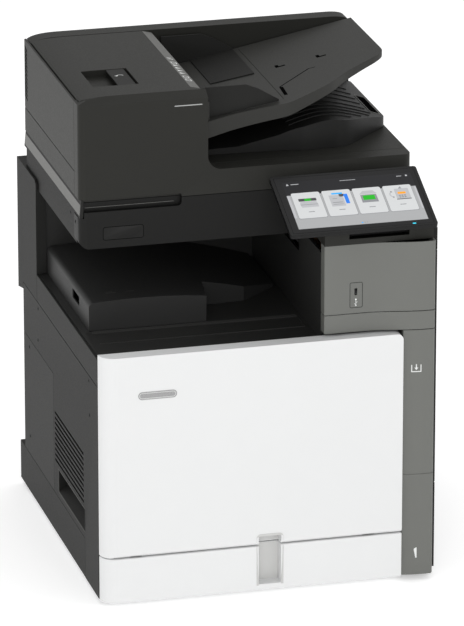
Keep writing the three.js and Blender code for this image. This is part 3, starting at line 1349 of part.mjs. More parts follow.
// ---------------------------------------------------------------- assembly
const photocopier = new THREE.Group();
photocopier.add(
  ...feet(), ...steelFrame(), baseSkirt(), leftSidePanel(), sideRail(), leftColumn(),
  rearCover(), powerInlet(), rearUpperCover(), rightSideCover(), rightDoor(), bypassTray(),
  columnCover(), trimStrip(), usbPanel(), panelHousing(), controlPanel(), outputBin(), outputBlock(),
  laserUnit(), transferBelt(), ...tonerCartridges(), wasteBottle(), ...fuser(), exitRoller(),
  pickupRoller(), fanRotor(), frontDoor(), drawerFront(), drawerTray(), liftPlate(),
  endGuide(), scannerBase(), scannerBezel(), platenGlass(), scanCarriage(), lidPlate(), platenPad(),
  lidFrontCover(), feederSidePanel(), feederChassis(), feedRoller(), outputTray(), topCover(),
  latchLever(), inputTray(), ...paperGuides(),
);
const rightmost = WIDTH + RIGHT.gap + SIDE_BULGE + BYPASS.gap + BYPASS.thickness;
const foremost = Math.min(0, PANEL.frontY);
photocopier.position.set(-rightmost / 2, -(Y_BOX + foremost) / 2, 0);
photocopier.updateMatrixWorld(true);

export default photocopier;
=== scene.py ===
"""Looks of a floor-standing A3 colour photocopier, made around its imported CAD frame."""

from __future__ import annotations

import logging
import math
from dataclasses import dataclass, field
from enum import Enum
from typing import ClassVar

import bmesh
import bpy
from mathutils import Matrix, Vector


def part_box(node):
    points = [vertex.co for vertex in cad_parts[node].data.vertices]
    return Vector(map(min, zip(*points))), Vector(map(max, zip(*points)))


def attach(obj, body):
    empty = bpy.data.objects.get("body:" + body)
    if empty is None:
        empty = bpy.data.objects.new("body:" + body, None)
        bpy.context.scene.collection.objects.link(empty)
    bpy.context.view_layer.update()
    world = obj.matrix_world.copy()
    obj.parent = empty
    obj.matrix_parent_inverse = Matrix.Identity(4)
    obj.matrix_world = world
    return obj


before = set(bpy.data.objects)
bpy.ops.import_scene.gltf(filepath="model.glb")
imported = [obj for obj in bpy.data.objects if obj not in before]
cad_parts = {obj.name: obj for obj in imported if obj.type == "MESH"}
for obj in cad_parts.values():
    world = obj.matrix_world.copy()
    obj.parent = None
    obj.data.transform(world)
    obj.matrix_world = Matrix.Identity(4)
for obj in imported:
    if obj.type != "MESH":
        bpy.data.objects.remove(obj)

LOG = logging.getLogger("photocopier")
MM = 0.001

Point = tuple[float, float]
Colour = tuple[float, float, float]
Node = bpy.types.Node
Tree = bpy.types.NodeTree


# ------------------------------------------------------------------ datum and outlines
@dataclass(frozen=True)
class Datum:
    """The machine's own corner, from which every size below is taken in millimetres.

    X runs from the left side to the right, Y from the door's face to the rear, Z up from the floor.
    """

    left: float
    front: float

    @classmethod
    def from_frame(cls) -> "Datum":
        """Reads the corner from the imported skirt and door."""
        return cls(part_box("base_skirt")[0].x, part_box("front_door")[0].y)

    def at(self, x: float, y: float, z: float) -> Vector:
        """Turns machine millimetres into frame metres.

        Args:
            x: Distance from the left side.
            y: Distance from the door's face.
            z: Height above the floor.

        Returns:
            The point in metres.
        """
        return Vector((self.left + x * MM, self.front + y * MM, z * MM))

    def box(self, node: str) -> tuple[Vector, Vector]:
        """Gives a CAD node's box in machine millimetres.

        Args:
            node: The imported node's name.

        Returns:
            Its lowest and highest corner.
        """
        corner = Vector((self.left, self.front, 0))
        low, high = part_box(node)
        return (low - corner) / MM, (high - corner) / MM


DATUM = Datum.from_frame()


def arc(centre: Point, radius: float, start: float, end: float, steps: int = 10) -> list[Point]:
    """Draws part of a circle.

    Args:
        centre: The circle's middle.
        radius: Its radius in millimetres.
        start: First angle in degrees.
        end: Last angle in degrees.
        steps: Number of straight pieces.

    Returns:
        The points from start to end.
    """
    angles = [math.radians(start + (end - start) * i / steps) for i in range(steps + 1)]
    return [(centre[0] + radius * math.cos(a), centre[1] + radius * math.sin(a)) for a in angles]


def disc(centre: Point, radius: float, steps: int = 14) -> list[Point]:
    """Draws a full circle.

    Args:
        centre: Its middle.
        radius: Its radius.
        steps: Straight pieces in it.

    Returns:
        The outline.
    """
    return arc(centre, radius, 0, 360, steps)[:-1]


def rounded(low: Point, high: Point, radius: float | tuple[float, ...], steps: int = 8) -> list[Point]:
    """Draws a rectangle with rounded corners.

    Args:
        low: Lower left corner.
        high: Upper right corner.
        radius: One radius, or four from the lower left corner anticlockwise.
        steps: Straight pieces in each corner.

    Returns:
        The outline, anticlockwise.
    """
    radii = radius if isinstance(radius, tuple) else (radius,) * 4
    corners = [(low[0], low[1], 180), (high[0], low[1], 270), (high[0], high[1], 0), (low[0], high[1], 90)]
    points: list[Point] = []
    for (u, v, start), r in zip(corners, radii):
        if r <= 0:
            points.append((u, v))
            continue
        centre = (u + r if u == low[0] else u - r, v + r if v == low[1] else v - r)
        points += arc(centre, r, start, start + 90, steps)
    return points


# ------------------------------------------------------------------ finishes
@dataclass(frozen=True)
class Finish:
    """A moulded, painted or bare surface with grain, mottling, uneven gloss and rubbed edges."""

    name: str
    colour: Colour
    roughness: float
    metallic: float = 0.0
    grain: float = 1500.0
    relief: float = 0.12
    mottle: float = 0.03
    gloss_spread: float = 0.04
    wear: float = 0.25
    stretch: Colour = (1.0, 1.0, 1.0)
    transmission: float = 0.0
    glow: float = 0.0
    specular: float = 0.5
    cloud: ClassVar[float] = 26.0
    haze: ClassVar[float] = 420.0
    bump_height: ClassVar[float] = 0.0004

    def material(self) -> bpy.types.Material:
        """Makes the node material, once for each finish."""
        known = bpy.data.materials.get(self.name)
        if known is not None:
            return known
        material = bpy.data.materials.new(self.name)
        material.use_nodes = True
        material.diffuse_color = (*self.colour, 1.0)
        tree = material.node_tree
        shader = tree.nodes["Principled BSDF"]
        shader.inputs["Metallic"].default_value = self.metallic
        shader.inputs["Transmission Weight"].default_value = self.transmission
        shader.inputs["Specular IOR Level"].default_value = self.specular
        place = tree.nodes.new("ShaderNodeTexCoord")
        scaling = tree.nodes.new("ShaderNodeMapping")
        scaling.inputs["Scale"].default_value = self.stretch
        tree.links.new(place.outputs["Object"], scaling.inputs["Vector"])
        self._colouring(tree, scaling, shader)
        self._gloss(tree, scaling, shader)
        self._grain(tree, scaling, shader)
        return material

    def _noise(self, tree: Tree, scaling: Node, scale: float, detail: float) -> Node:
        """Adds one noise texture.

        Args:
            tree: The material's nodes.
            scaling: The mapping node that feeds it.
            scale: Cells in a metre.
            detail: Number of finer layers.

        Returns:
            The noise node.
        """
        noise = tree.nodes.new("ShaderNodeTexNoise")
        noise.inputs["Scale"].default_value = scale
        noise.inputs["Detail"].default_value = detail
        tree.links.new(scaling.outputs["Vector"], noise.inputs["Vector"])
        return noise

    def _colouring(self, tree: Tree, scaling: Node, shader: Node) -> None:
        """Mixes the base colour with slow mottling and with paler, rubbed edges.

        Args:
            tree: The material's nodes.
            scaling: The mapping node.
            shader: The surface shader.
        """
        mottling = self._noise(tree, scaling, self.cloud, 5.0)
        blend = tree.nodes.new("ShaderNodeMix")
        blend.data_type = "RGBA"
        darker = tuple(c * (1 - self.mottle) for c in self.colour)
        paler = tuple(min(1.0, c * (1 + self.mottle)) for c in self.colour)
        blend.inputs["A"].default_value = (*darker, 1.0)
        blend.inputs["B"].default_value = (*paler, 1.0)
        tree.links.new(mottling.outputs["Fac"], blend.inputs["Factor"])
        shape = tree.nodes.new("ShaderNodeNewGeometry")
        edges = tree.nodes.new("ShaderNodeMapRange")
        edges.inputs["From Min"].default_value = 0.52
        edges.inputs["From Max"].default_value = 0.68
        edges.inputs["To Max"].default_value = self.wear
        tree.links.new(shape.outputs["Pointiness"], edges.inputs["Value"])
        rubbed = tree.nodes.new("ShaderNodeMix")
        rubbed.data_type = "RGBA"
        worn = tuple(min(1.0, c * 1.35 + 0.03) for c in self.colour)
        rubbed.inputs["B"].default_value = (*worn, 1.0)
        tree.links.new(edges.outputs["Result"], rubbed.inputs["Factor"])
        tree.links.new(blend.outputs["Result"], rubbed.inputs["A"])
        tree.links.new(rubbed.outputs["Result"], shader.inputs["Base Color"])
        if self.glow > 0:
            shader.inputs["Emission Strength"].default_value = self.glow
            tree.links.new(blend.outputs["Result"], shader.inputs["Emission Color"])

    def _gloss(self, tree: Tree, scaling: Node, shader: Node) -> None:
        """Varies the roughness with a cloudy, finely broken pattern.

        Args:
            tree: The material's nodes.
            scaling: The mapping node.
            shader: The surface shader.
        """
        haze = self._noise(tree, scaling, self.haze, 4.0)
        spread = tree.nodes.new("ShaderNodeMapRange")
        spread.inputs["From Min"].default_value = 0.3
        spread.inputs["From Max"].default_value = 0.7
        spread.inputs["To Min"].default_value = max(0.02, self.roughness - self.gloss_spread)
        spread.inputs["To Max"].default_value = min(1.0, self.roughness + self.gloss_spread)
        tree.links.new(haze.outputs["Fac"], spread.inputs["Value"])
        tree.links.new(spread.outputs["Result"], shader.inputs["Roughness"])

    def _grain(self, tree: Tree, scaling: Node, shader: Node) -> None:
        """Raises the fine grain of the tool or the brush as a bump.

        Args:
            tree: The material's nodes.
            scaling: The mapping node.
            shader: The surface shader.
        """
        fine = self._noise(tree, scaling, self.grain, 2.5)
        bump = tree.nodes.new("ShaderNodeBump")
        bump.inputs["Strength"].default_value = self.relief
        bump.inputs["Distance"].default_value = self.bump_height
        tree.links.new(fine.outputs["Fac"], bump.inputs["Height"])
        tree.links.new(bump.outputs["Normal"], shader.inputs["Normal"])


def printed(name: str, colour: Colour) -> Finish:
    """Gives the finish of a printed or inlaid mark."""
    return Finish(name, colour, 0.5, grain=900, relief=0.02, mottle=0.02, wear=0.0)


def cap(name: str, colour: Colour) -> Finish:
    """Gives the finish of a coloured cartridge front."""
    return Finish(name, colour, 0.4, grain=1200, relief=0.1)


def lit(
    name: str, colour: Colour, glow: float, mottle: float = 0.03, roughness: float = 0.5,
    specular: float = 0.1,
) -> Finish:
    """Gives the finish of a lit area on the display.

    Args:
        name: The finish's name.
        colour: Its colour.
        glow: Strength of its own light.
        mottle: How much the colour varies.
        roughness: Roughness of the pane.
        specular: Strength of the reflections.

    Returns:
        The finish.
    """
    return Finish(
        name, colour, roughness, relief=0.0, mottle=mottle, wear=0.0, glow=glow, specular=specular,
    )


class Finishes:
    """Every finish on the machine, by what it is on."""

    WHITE = Finish("white_moulding", (0.72, 0.725, 0.725), 0.46, grain=1100, relief=0.05, mottle=0.01,
                   wear=0.08)
    BLACK = Finish("black_moulding", (0.0185, 0.0185, 0.016), 0.49, grain=1300, relief=0.16, wear=0.3,
                   specular=0.16)
    BEZEL = Finish("bezel_moulding", (0.0075, 0.0075, 0.007), 0.5, grain=1300, relief=0.14, wear=0.3,
                   specular=0.16)
    CHARCOAL = Finish("charcoal_moulding", (0.0185, 0.0185, 0.0175), 0.56, grain=1200, relief=0.18,
                      wear=0.3, specular=0.08)
    GREY = Finish("grey_satin", (0.132, 0.135, 0.124), 0.44, metallic=0.1, grain=1800, relief=0.07,
                  mottle=0.02)
    BADGE = Finish("satin_badge", (0.30, 0.30, 0.30), 0.3, metallic=0.6, grain=1600, relief=0.04,
                   stretch=(1, 1, 8))
    # Painted shade: a grey copy of the white moulding, laid round and inside the handle hollow; the blank
    # rating plate at the rear takes the same plain grey.
    RECESS = Finish("shaded_white_and_plate", (0.52, 0.52, 0.51), 0.5, grain=1100, relief=0.05, mottle=0.02)
    BIN = Finish("bin_moulding", (0.021, 0.021, 0.020), 0.42, grain=1100, relief=0.16, wear=0.4,
                 specular=0.34)
    BLOCK = Finish("block_moulding", (0.022, 0.022, 0.0215), 0.5, grain=1100, relief=0.16, wear=0.4,
                   specular=0.2)
    TRAY = Finish("tray_moulding", (0.035, 0.035, 0.0325), 0.5, grain=1100, relief=0.18, wear=0.3,
                  specular=0.13)
    OUT_TRAY = Finish("lower_tray_moulding", (0.009, 0.009, 0.0085), 0.5, grain=1100, relief=0.16, wear=0.3,
                      specular=0.2)
    # Painted highlight: a paler copy of the bin's black moulding, so the ribs read as lit.
    RIB = Finish("bin_rib_highlight", (0.05, 0.05, 0.048), 0.42, grain=1100, relief=0.12, wear=0.4, specular=0.4)
    # Pale grey for the trim strips and the catch's rim, and the painted highlight along the edge below the
    # lid's grip.
    STRIP = Finish("trim_strip", (0.115, 0.115, 0.108), 0.46, grain=1300, relief=0.1, mottle=0.02, wear=0.1,
                   specular=0.3)
    # Painted shade: a near-black, non-reflecting finish laid where slots, openings and recesses fall into
    # shade; the blank plate's border seam uses it too.
    HOLLOW = Finish("shaded_hollow", (0.003, 0.003, 0.003), 0.8, grain=900, relief=0.1, wear=0.0,
                    specular=0.0)
    GLOSS = Finish("gloss_bezel", (0.006, 0.006, 0.006), 0.3, grain=900, relief=0.01, mottle=0.03,
                   specular=0.16)
    SCREEN = Finish("screen_pane", (0.004, 0.004, 0.0045), 0.22, grain=700, relief=0.004, gloss_spread=0.02,
                    specular=0.12)
    STEEL = Finish("plated_sheet", (0.56, 0.57, 0.58), 0.34, metallic=0.95, grain=600, relief=0.05,
                   stretch=(1, 1, 9))
    SCREW = Finish("blackened_screw", (0.004, 0.004, 0.004), 0.55, grain=2400, relief=0.08, wear=0.1,
                   specular=0.12)
    RUBBER = Finish("rubber", (0.012, 0.012, 0.012), 0.82, grain=900, relief=0.3, wear=0.15)
    SLEEVE = Finish("heat_sleeve", (0.2, 0.075, 0.02), 0.3, metallic=0.2, grain=500, relief=0.03,
                    stretch=(1, 12, 1))
    BELT = Finish("belt_film", (0.045, 0.03, 0.02), 0.2, grain=500, relief=0.02, mottle=0.1,
                  stretch=(1, 12, 1))
    BOTTLE = Finish("milky_bottle", (0.72, 0.73, 0.7), 0.36, grain=700, relief=0.1, mottle=0.05)
    GLASS = Finish("clear_pane", (0.5, 0.58, 0.56), 0.04, grain=300, relief=0.0, gloss_spread=0.015,
                   transmission=0.65)
    FOAM = Finish("pad_foam", (0.84, 0.84, 0.82), 0.85, grain=420, relief=0.35, mottle=0.03)
    MARK = printed("printed_mark", (0.72, 0.73, 0.72))
    FAINT = printed("faint_mark", (0.045, 0.045, 0.042))
    LINE = printed("light_line", (0.36, 0.365, 0.36))
    CARD = lit("lit_card", (0.56, 0.57, 0.575), glow=0.3, mottle=0.01)
    FIELD = lit("lit_field", (0.34, 0.345, 0.35), glow=0.35, mottle=0.01)
    HEADING = lit("lit_heading", (0.018, 0.018, 0.02), glow=0.2, roughness=0.4, specular=0.12)
    UI_GREEN = lit("lit_green", (0.02, 0.36, 0.02), glow=0.5, mottle=0.04)
    UI_BLUE = lit("lit_blue", (0.03, 0.17, 0.62), glow=0.5, mottle=0.06)
    UI_SKY = lit("lit_sky", (0.04, 0.33, 0.7), glow=0.5, mottle=0.06)
    UI_ORANGE = lit("lit_orange", (0.8, 0.3, 0.02), glow=0.5, mottle=0.04)
    UI_DARK = lit("lit_dark", (0.07, 0.07, 0.075), glow=0.3, mottle=0.02)
    UI_MID = lit("lit_mid", (0.25, 0.255, 0.27), glow=0.25)
    UI_PALE = lit("lit_pale", (0.43, 0.435, 0.45), glow=0.3)
    LAMP = lit("cyan_lamp", (0.02, 0.45, 0.6), glow=1.2, roughness=0.3, specular=0.5)
    CYAN = cap("cyan_cap", (0.01, 0.32, 0.6))
    MAGENTA = cap("magenta_cap", (0.6, 0.015, 0.17))
    YELLOW = cap("yellow_cap", (0.75, 0.5, 0.02))
    KEY = cap("black_cap", (0.02, 0.02, 0.022))

    BY_SLOT = {
        "white_plastic": WHITE,
        "bottle_plastic": BOTTLE,
        "black_plastic": BLACK,
        "charcoal_plastic": CHARCOAL,
        "grey_plastic": GREY,
        "frame_steel": STEEL,
        "foot_rubber": RUBBER,
        "roller_rubber": RUBBER,
        "heat_sleeve": SLEEVE,
        "belt_film": BELT,
        "platen_glass": GLASS,
        "screen_glass": SCREEN,
        "pad_foam": FOAM,
    }


# ------------------------------------------------------------------ edges and shading
class Shading:
    """Rounded edges and clean shading, added as modifiers so that the mesh below stays as it is."""

    TREE = "smooth_by_angle"
    SHARP = math.radians(32)
    FLAT = math.radians(0.4)

    @classmethod
    def tree(cls) -> bpy.types.NodeTree:
        """Makes the node group that smooths every edge flatter than the sharp angle, once."""
        known = bpy.data.node_groups.get(cls.TREE)
        if known is not None:
            return known
        tree = bpy.data.node_groups.new(cls.TREE, "GeometryNodeTree")
        tree.interface.new_socket("Geometry", in_out="INPUT", socket_type="NodeSocketGeometry")
        tree.interface.new_socket("Geometry", in_out="OUTPUT", socket_type="NodeSocketGeometry")
        start = tree.nodes.new("NodeGroupInput")
        end = tree.nodes.new("NodeGroupOutput")
        plain = tree.nodes.new("GeometryNodeRemoveAttribute")
        plain.inputs["Name"].default_value = "custom_normal"
        smooth = tree.nodes.new("GeometryNodeSetShadeSmooth")
        sharp = tree.nodes.new("GeometryNodeSetShadeSmooth")
        sharp.domain = "EDGE"
        sharp.inputs["Shade Smooth"].default_value = False
        angle = tree.nodes.new("GeometryNodeInputMeshEdgeAngle")
        steep = tree.nodes.new("FunctionNodeCompare")
        steep.operation = "GREATER_THAN"
        steep.inputs["B"].default_value = cls.SHARP
        tree.links.new(start.outputs[0], plain.inputs["Geometry"])
        tree.links.new(plain.outputs["Geometry"], smooth.inputs["Geometry"])
        tree.links.new(smooth.outputs["Geometry"], sharp.inputs["Geometry"])
        tree.links.new(angle.outputs["Unsigned Angle"], steep.inputs["A"])
        tree.links.new(steep.outputs["Result"], sharp.inputs["Selection"])
        tree.links.new(sharp.outputs["Geometry"], end.inputs[0])
        return tree

    @classmethod
    def apply(cls, solid: bpy.types.Object, radius: float, weld: bool = False) -> None:
        """Rounds the sharp edges and smooths the rest.

        Args:
            solid: The object to shade.
            radius: Edge radius in millimetres, or 0 where a face full of slots can't bear it.
            weld: Whether the mesh has split corners that are joined first.
        """
        if weld:
            joined = solid.modifiers.new("weld", "WELD")
            joined.merge_threshold = 1e-5
        if weld and radius > 0:
            flat = solid.modifiers.new("flat_faces", "DECIMATE")
            flat.decimate_type = "DISSOLVE"
            flat.angle_limit = cls.FLAT
        if radius > 0:
            bevel = solid.modifiers.new("edge", "BEVEL")
            bevel.width = radius * MM
            bevel.segments = 2
            bevel.limit_method = "ANGLE"
            bevel.angle_limit = cls.SHARP
            bevel.use_clamp_overlap = True
            bevel.miter_outer = "MITER_ARC"
        shade = solid.modifiers.new("shade", "NODES")
        shade.node_group = cls.tree()
        even = solid.modifiers.new("even_normals", "WEIGHTED_NORMAL")
        even.keep_sharp = True


# ------------------------------------------------------------------ workpieces
class Workpiece:
    """A closed solid that is drawn and then fitted to its body, in machine millimetres."""

    def __init__(self, name: str, mesh: bpy.types.Mesh) -> None:
        """Puts a mesh into the scene.

        Args:
            name: The piece's name.
            mesh: Its closed mesh, in frame metres.
        """
        self.solid = bpy.data.objects.new(name, mesh)
        bpy.context.scene.collection.objects.link(self.solid)

    @classmethod
    def across(cls, name: str, outline: list[Point], left: float, right: float) -> "Workpiece":
        """Extrudes an outline of the side view from left to right.

        Args:
            name: The piece's name.
            outline: Closed outline of depths and heights.
            left: Where the solid begins.
            right: Where it ends.

        Returns:
            The new workpiece.
        """
        work = bmesh.new()
        ends = [[work.verts.new(DATUM.at(x, y, z)) for y, z in outline] for x in (left, right)]
        work.faces.new(ends[0])
        work.faces.new(list(reversed(ends[1])))
        count = len(outline)
        for i in range(count):
            j = (i + 1) % count
            work.faces.new((ends[0][j], ends[0][i], ends[1][i], ends[1][j]))
        bmesh.ops.recalc_face_normals(work, faces=work.faces[:])
        mesh = bpy.data.meshes.new(name)
        work.to_mesh(mesh)
        work.free()
        return cls(name, mesh)

    def fit(self, body: str, finish: Finish, slot: str, edge: float = 0.0) -> bpy.types.Object:
        """Rounds, dresses and fixes the piece to its body.

        Args:
            body: The CAD body that it rides on.
            finish: Its finish.
            slot: The record's material slot; not used.
            edge: Edge radius in millimetres.

        Returns:
            The finished object.
        """
        Shading.apply(self.solid, edge)
        self.solid.data.materials.clear()
        self.solid.data.materials.append(finish.material())
        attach(self.solid, body)
        LOG.info("made %s on %s", self.solid.name, body)
        return self.solid


# ------------------------------------------------------------------ CAD nodes that stay
@dataclass
class PackedNodes:
    """Dresses every CAD node that stays: rounded edges and a finish of its own."""

    edge: float = 0.8
    edges: dict[str, float] = field(default_factory=lambda: {
        "front_door": 1.6,
        "drawer_front": 1.4,
        "scanner_bezel": 2.0,
        "lid_front_cover": 2.6,
        "feeder_top_cover": 0.8,
        "column_cover": 1.0,
        "panel_case": 1.2,
        "platen_glass": 0.3,
        "panel_screen": 0.0,
        "platen_pad": 0.5,
        "frame_core": 0.4,
        "frame_left_wall": 0.0,
        "frame_right_wall": 0.0,
        "frame_drawer_shelf": 0.0,
        "rear_cover": 0.0,
        "left_side_panel": 0.0,
        "right_door": 0.0,
        "output_bin": 0.0,
        "fan_rotor": 0.3,
    })
    finishes: dict[str, Finish] = field(default_factory=lambda: {
        "output_bin": Finishes.BIN,
        "output_block": Finishes.BLOCK,
        "input_tray": Finishes.TRAY,
        "feeder_output_tray": Finishes.OUT_TRAY,
        "scanner_bezel": Finishes.BEZEL,
        "panel_case": Finishes.GLOSS,
    })

    def dress(self) -> None:
        """Gives each shown node its modifiers and its material."""
        for name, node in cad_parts.items():
            own = node.data.materials[0].name.split(".")[0]
            finish = self.finishes.get(name, Finishes.BY_SLOT[own])
            edge = self.edges.get(name, self.edge)
            Shading.apply(node, edge, weld=True)
            for place in node.material_slots:
                place.material = finish.material()
            LOG.info("dressed %s in %s", name, finish.name)


# ------------------------------------------------------------------ marks laid on a surface
class Facing(Enum):
    """The side from which a mark is laid; its outline is drawn as seen from there."""

    FRONT = "front"
    REAR = "rear"
    LEFT = "left"
    RIGHT = "right"
    TOP = "top"

    def ray(self, u: float, v: float, start: float) -> tuple[Vector, Vector]:
        """Gives the line along which a point of the outline meets the surface.

        Args:
            u: First coordinate of the point.
            v: Second coordinate of the point.
            start: Where the line begins, on the third axis.

        Returns:
            The start in frame metres, and the direction.
        """
        if self in (Facing.FRONT, Facing.REAR):
            return DATUM.at(u, start, v), Vector((0, 1 if self is Facing.FRONT else -1, 0))
        if self in (Facing.LEFT, Facing.RIGHT):
            return DATUM.at(start, u, v), Vector((1 if self is Facing.LEFT else -1, 0, 0))
        return DATUM.at(u, v, start), Vector((0, 0, -1))

    @property
    def outside(self) -> float:
        """Third coordinate of a place well outside the machine."""
        return {"front": -80.0, "rear": 760.0, "left": -80.0, "right": 720.0, "top": 1000.0}[self.value]


def refined(outline: list[Point], step: float) -> list[Point]:
    """Adds points along the outline's straight pieces.

    Args:
        outline: The closed outline.
        step: Longest piece that is left, in millimetres.

    Returns:
        The outline with more points.
    """
    points: list[Point] = []
    for (ua, va), (ub, vb) in zip(outline, outline[1:] + outline[:1]):
        count = max(1, math.ceil(math.hypot(ub - ua, vb - va) / step))
        points += [(ua + (ub - ua) * i / count, va + (vb - va) * i / count) for i in range(count)]
    return points


def bar(start: Point, end: Point, width: float) -> list[Point]:
    """Draws a straight stroke.

    Args:
        start: Its first end.
        end: Its last end.
        width: Its width in millimetres.

    Returns:
        The four corners.
    """
    run, rise = end[0] - start[0], end[1] - start[1]
    length = math.hypot(run, rise)
    du, dv = -rise / length * width / 2, run / length * width / 2
    return [
        (start[0] + du, start[1] + dv), (start[0] - du, start[1] - dv),
        (end[0] - du, end[1] - dv), (end[0] + du, end[1] + dv),
    ]


@dataclass(frozen=True)
class Mark:
    """A printed, inlaid or slightly raised mark that follows the surface under it."""

    name: str
    body: str
    finish: Finish
    slot: str
    facing: Facing
    proud: float = 0.12
    start: float | None = None
    root: float = 0.4
    step: float = 6.0

    def _touch(self, graph: bpy.types.Depsgraph, point: Point) -> tuple[Vector, Vector]:
        """Finds the surface under one point.

        Args:
            graph: The evaluated scene.
            point: The outline's point.

        Returns:
            The mark's outer and inner point there.
        """
        begin = self.facing.outside if self.start is None else self.start
        origin, ahead = self.facing.ray(*point, begin)
        found, place, *_ = bpy.context.scene.ray_cast(graph, origin, ahead)
        if not found:
            raise ValueError(f"{self.name} misses the surface at {point}")
        return place - ahead * self.proud * MM, place + ahead * self.root * MM

    def _shell(self, work: bmesh.types.BMesh, outline: list[Point], hole: list[Point] | None) -> None:
        """Adds one closed, thin solid.

        Args:
            work: The mesh in the making.
            outline: Its outline.
            hole: The outline of its hole, with as many points, if it has one.
        """
        graph = bpy.context.evaluated_depsgraph_get()
        loops = [outline] if hole is None else [outline, hole]
        rows = [[tuple(work.verts.new(v) for v in self._touch(graph, p)) for p in loop] for loop in loops]
        count = len(outline)
        if hole is None:
            caps = [work.faces.new([pair[layer] for pair in rows[0]]) for layer in (0, 1)]
            bmesh.ops.triangulate(work, faces=caps)
        for row in rows:
            for i in range(count):
                j = (i + 1) % count
                work.faces.new((row[i][0], row[j][0], row[j][1], row[i][1]))
        if hole is not None:
            for layer in (0, 1):
                for i in range(count):
                    j = (i + 1) % count
                    work.faces.new((rows[0][i][layer], rows[0][j][layer], rows[1][j][layer],
                                    rows[1][i][layer]))

    def _fit(self, work: bmesh.types.BMesh) -> bpy.types.Object:
        """Finishes the mesh and fixes it to its body.

        Args:
            work: The whole mesh.

        Returns:
            The finished object.
        """
        bmesh.ops.recalc_face_normals(work, faces=work.faces[:])
        mesh = bpy.data.meshes.new(self.name)
        work.to_mesh(mesh)
        work.free()
        piece = Workpiece(self.name, mesh)
        return piece.fit(self.body, self.finish, self.slot)

    def lay(self, *outlines: list[Point]) -> bpy.types.Object:
        """Lays filled shapes.

        Args:
            outlines: One closed outline for each shape.

        Returns:
            The finished object.
        """
        work = bmesh.new()
        for outline in outlines:
            self._shell(work, refined(outline, self.step), None)
        return self._fit(work)

    def ring(self, *pairs: tuple[list[Point], list[Point]]) -> bpy.types.Object:
        """Lays frames.

        Args:
            pairs: The outer and the inner outline of each, with as many points.

        Returns:
            The finished object.
        """
        work = bmesh.new()
        for outer, inner in pairs:
            self._shell(work, outer, inner)
        return self._fit(work)


def frame_lines(low: Point, high: Point, radius: float, width: float) -> tuple[list[Point], list[Point]]:
    """Draws the two outlines of a rounded frame.

    Args:
        low: Lower left corner of the outer outline.
        high: Upper right corner.
        radius: Outer corner radius.
        width: Width of the frame.

    Returns:
        The outer and the inner outline.
    """
    inner = rounded((low[0] + width, low[1] + width), (high[0] - width, high[1] - width),
                    max(0.2, radius - width))
    return rounded(low, high, radius), inner


class SubAssembly:
    """A group of pieces that are made and fitted together."""

    def build(self) -> None:
        """Makes every piece of the group."""
        raise NotImplementedError


# ------------------------------------------------------------------ door and drawer
@dataclass
class FrontDoor(SubAssembly):
    """The plain badge on the white door, and the rim and the back of the shared handle hollow, both grey
    with painted shade.
    """

    badge: tuple[Point, Point] = ((64.0, 380.0), (132.0, 394.0))
    hollow: tuple[float, float] = (277.0, 316.0)
    top: float = 110.0
    rim: float = 4.4
    proud: float = 0.5
    hollow_shade_heights: tuple[float, float, float] = (23.0, 91.0, 95.4)

    def build(self) -> None:
        """Makes the badge, the two rims and the painted shade at the back of the hollow."""
        low, high = self.badge
        Mark("door_badge", "front_door", Finishes.BADGE, "grey_plastic", Facing.FRONT, proud=0.5).lay(
            rounded(low, high, 6.9, steps=8)
        )
        Mark("door_badge_line", "front_door", Finishes.MARK, "white_plastic", Facing.FRONT, proud=0.08).ring(
            frame_lines((low[0] + 2, low[1] + 2), (high[0] - 2, high[1] - 2), 4.9, 0.7)
        )
        # The grey of both rims is painted shade round the hollow.
        self._rim("door_handle_rim", "front_door", DATUM.box("front_door")[0].z + 1.2, self.top)
        self._rim("drawer_handle_rim", "paper_drawer", 20.0, DATUM.box("drawer_front")[1].z - 1.0)
        self._hollow_shade()

    def _rim(self, name: str, body: str, bottom: float, top: float) -> None:
        """Makes one half of the rim round the hollow, whose grey is painted shade.

        Args:
            name: The piece's name.
            body: The body that it rides on.
            bottom: Its lower end.
            top: Its upper end, which is arched on the door.
        """
        left, right = self.hollow
        wide = self.rim
        arched = body == "front_door"
        radius = 7.0 if arched else 0.0
        outer = rounded((left - wide, bottom), (right + wide, top + (wide if arched else 0)),
                        (0, 0, radius, radius))
        if arched:
            inner = [
                (right + 0.3, bottom), (right + 0.3, top + 0.3), (left - 0.3, top + 0.3),
                (left - 0.3, bottom),
            ]
            outline = [outer[0], outer[1]] + outer[2:]
            path = outline[1:] + outline[:1] + inner[::-1]
            Mark(name, body, Finishes.RECESS, "white_plastic", Facing.FRONT, proud=self.proud).lay(path)
            return
        strips = [
            [(left - wide, bottom), (left - 0.2, bottom), (left - 0.2, top), (left - wide, top)],
            [(right + 0.2, bottom), (right + wide, bottom), (right + wide, top), (right + 0.2, top)],
        ]
        Mark(name, body, Finishes.RECESS, "white_plastic", Facing.FRONT, proud=self.proud).lay(*strips)

    def _hollow_shade(self) -> None:
        """Makes the painted shade at the back of the hollow, one grey plate on each body."""
        left, right = self.hollow[0] + 0.6, self.hollow[1] - 0.6
        drawer_low, drawer_high, door_low = self.hollow_shade_heights
        # Painted shade: a grey plate at the back of each half of the hollow.
        Mark(
            "drawer_handle_back_shade", "paper_drawer", Finishes.RECESS, "white_plastic", Facing.FRONT, proud=0.3,
        ).lay(rounded((left, drawer_low), (right, drawer_high), 0.5, steps=2))
        Mark(
            "door_handle_back_shade", "front_door", Finishes.RECESS, "white_plastic", Facing.FRONT, proud=0.3,
        ).lay(rounded((left, door_low), (right, self.top - 1), (0.3, 0.3, 3, 3), steps=4))


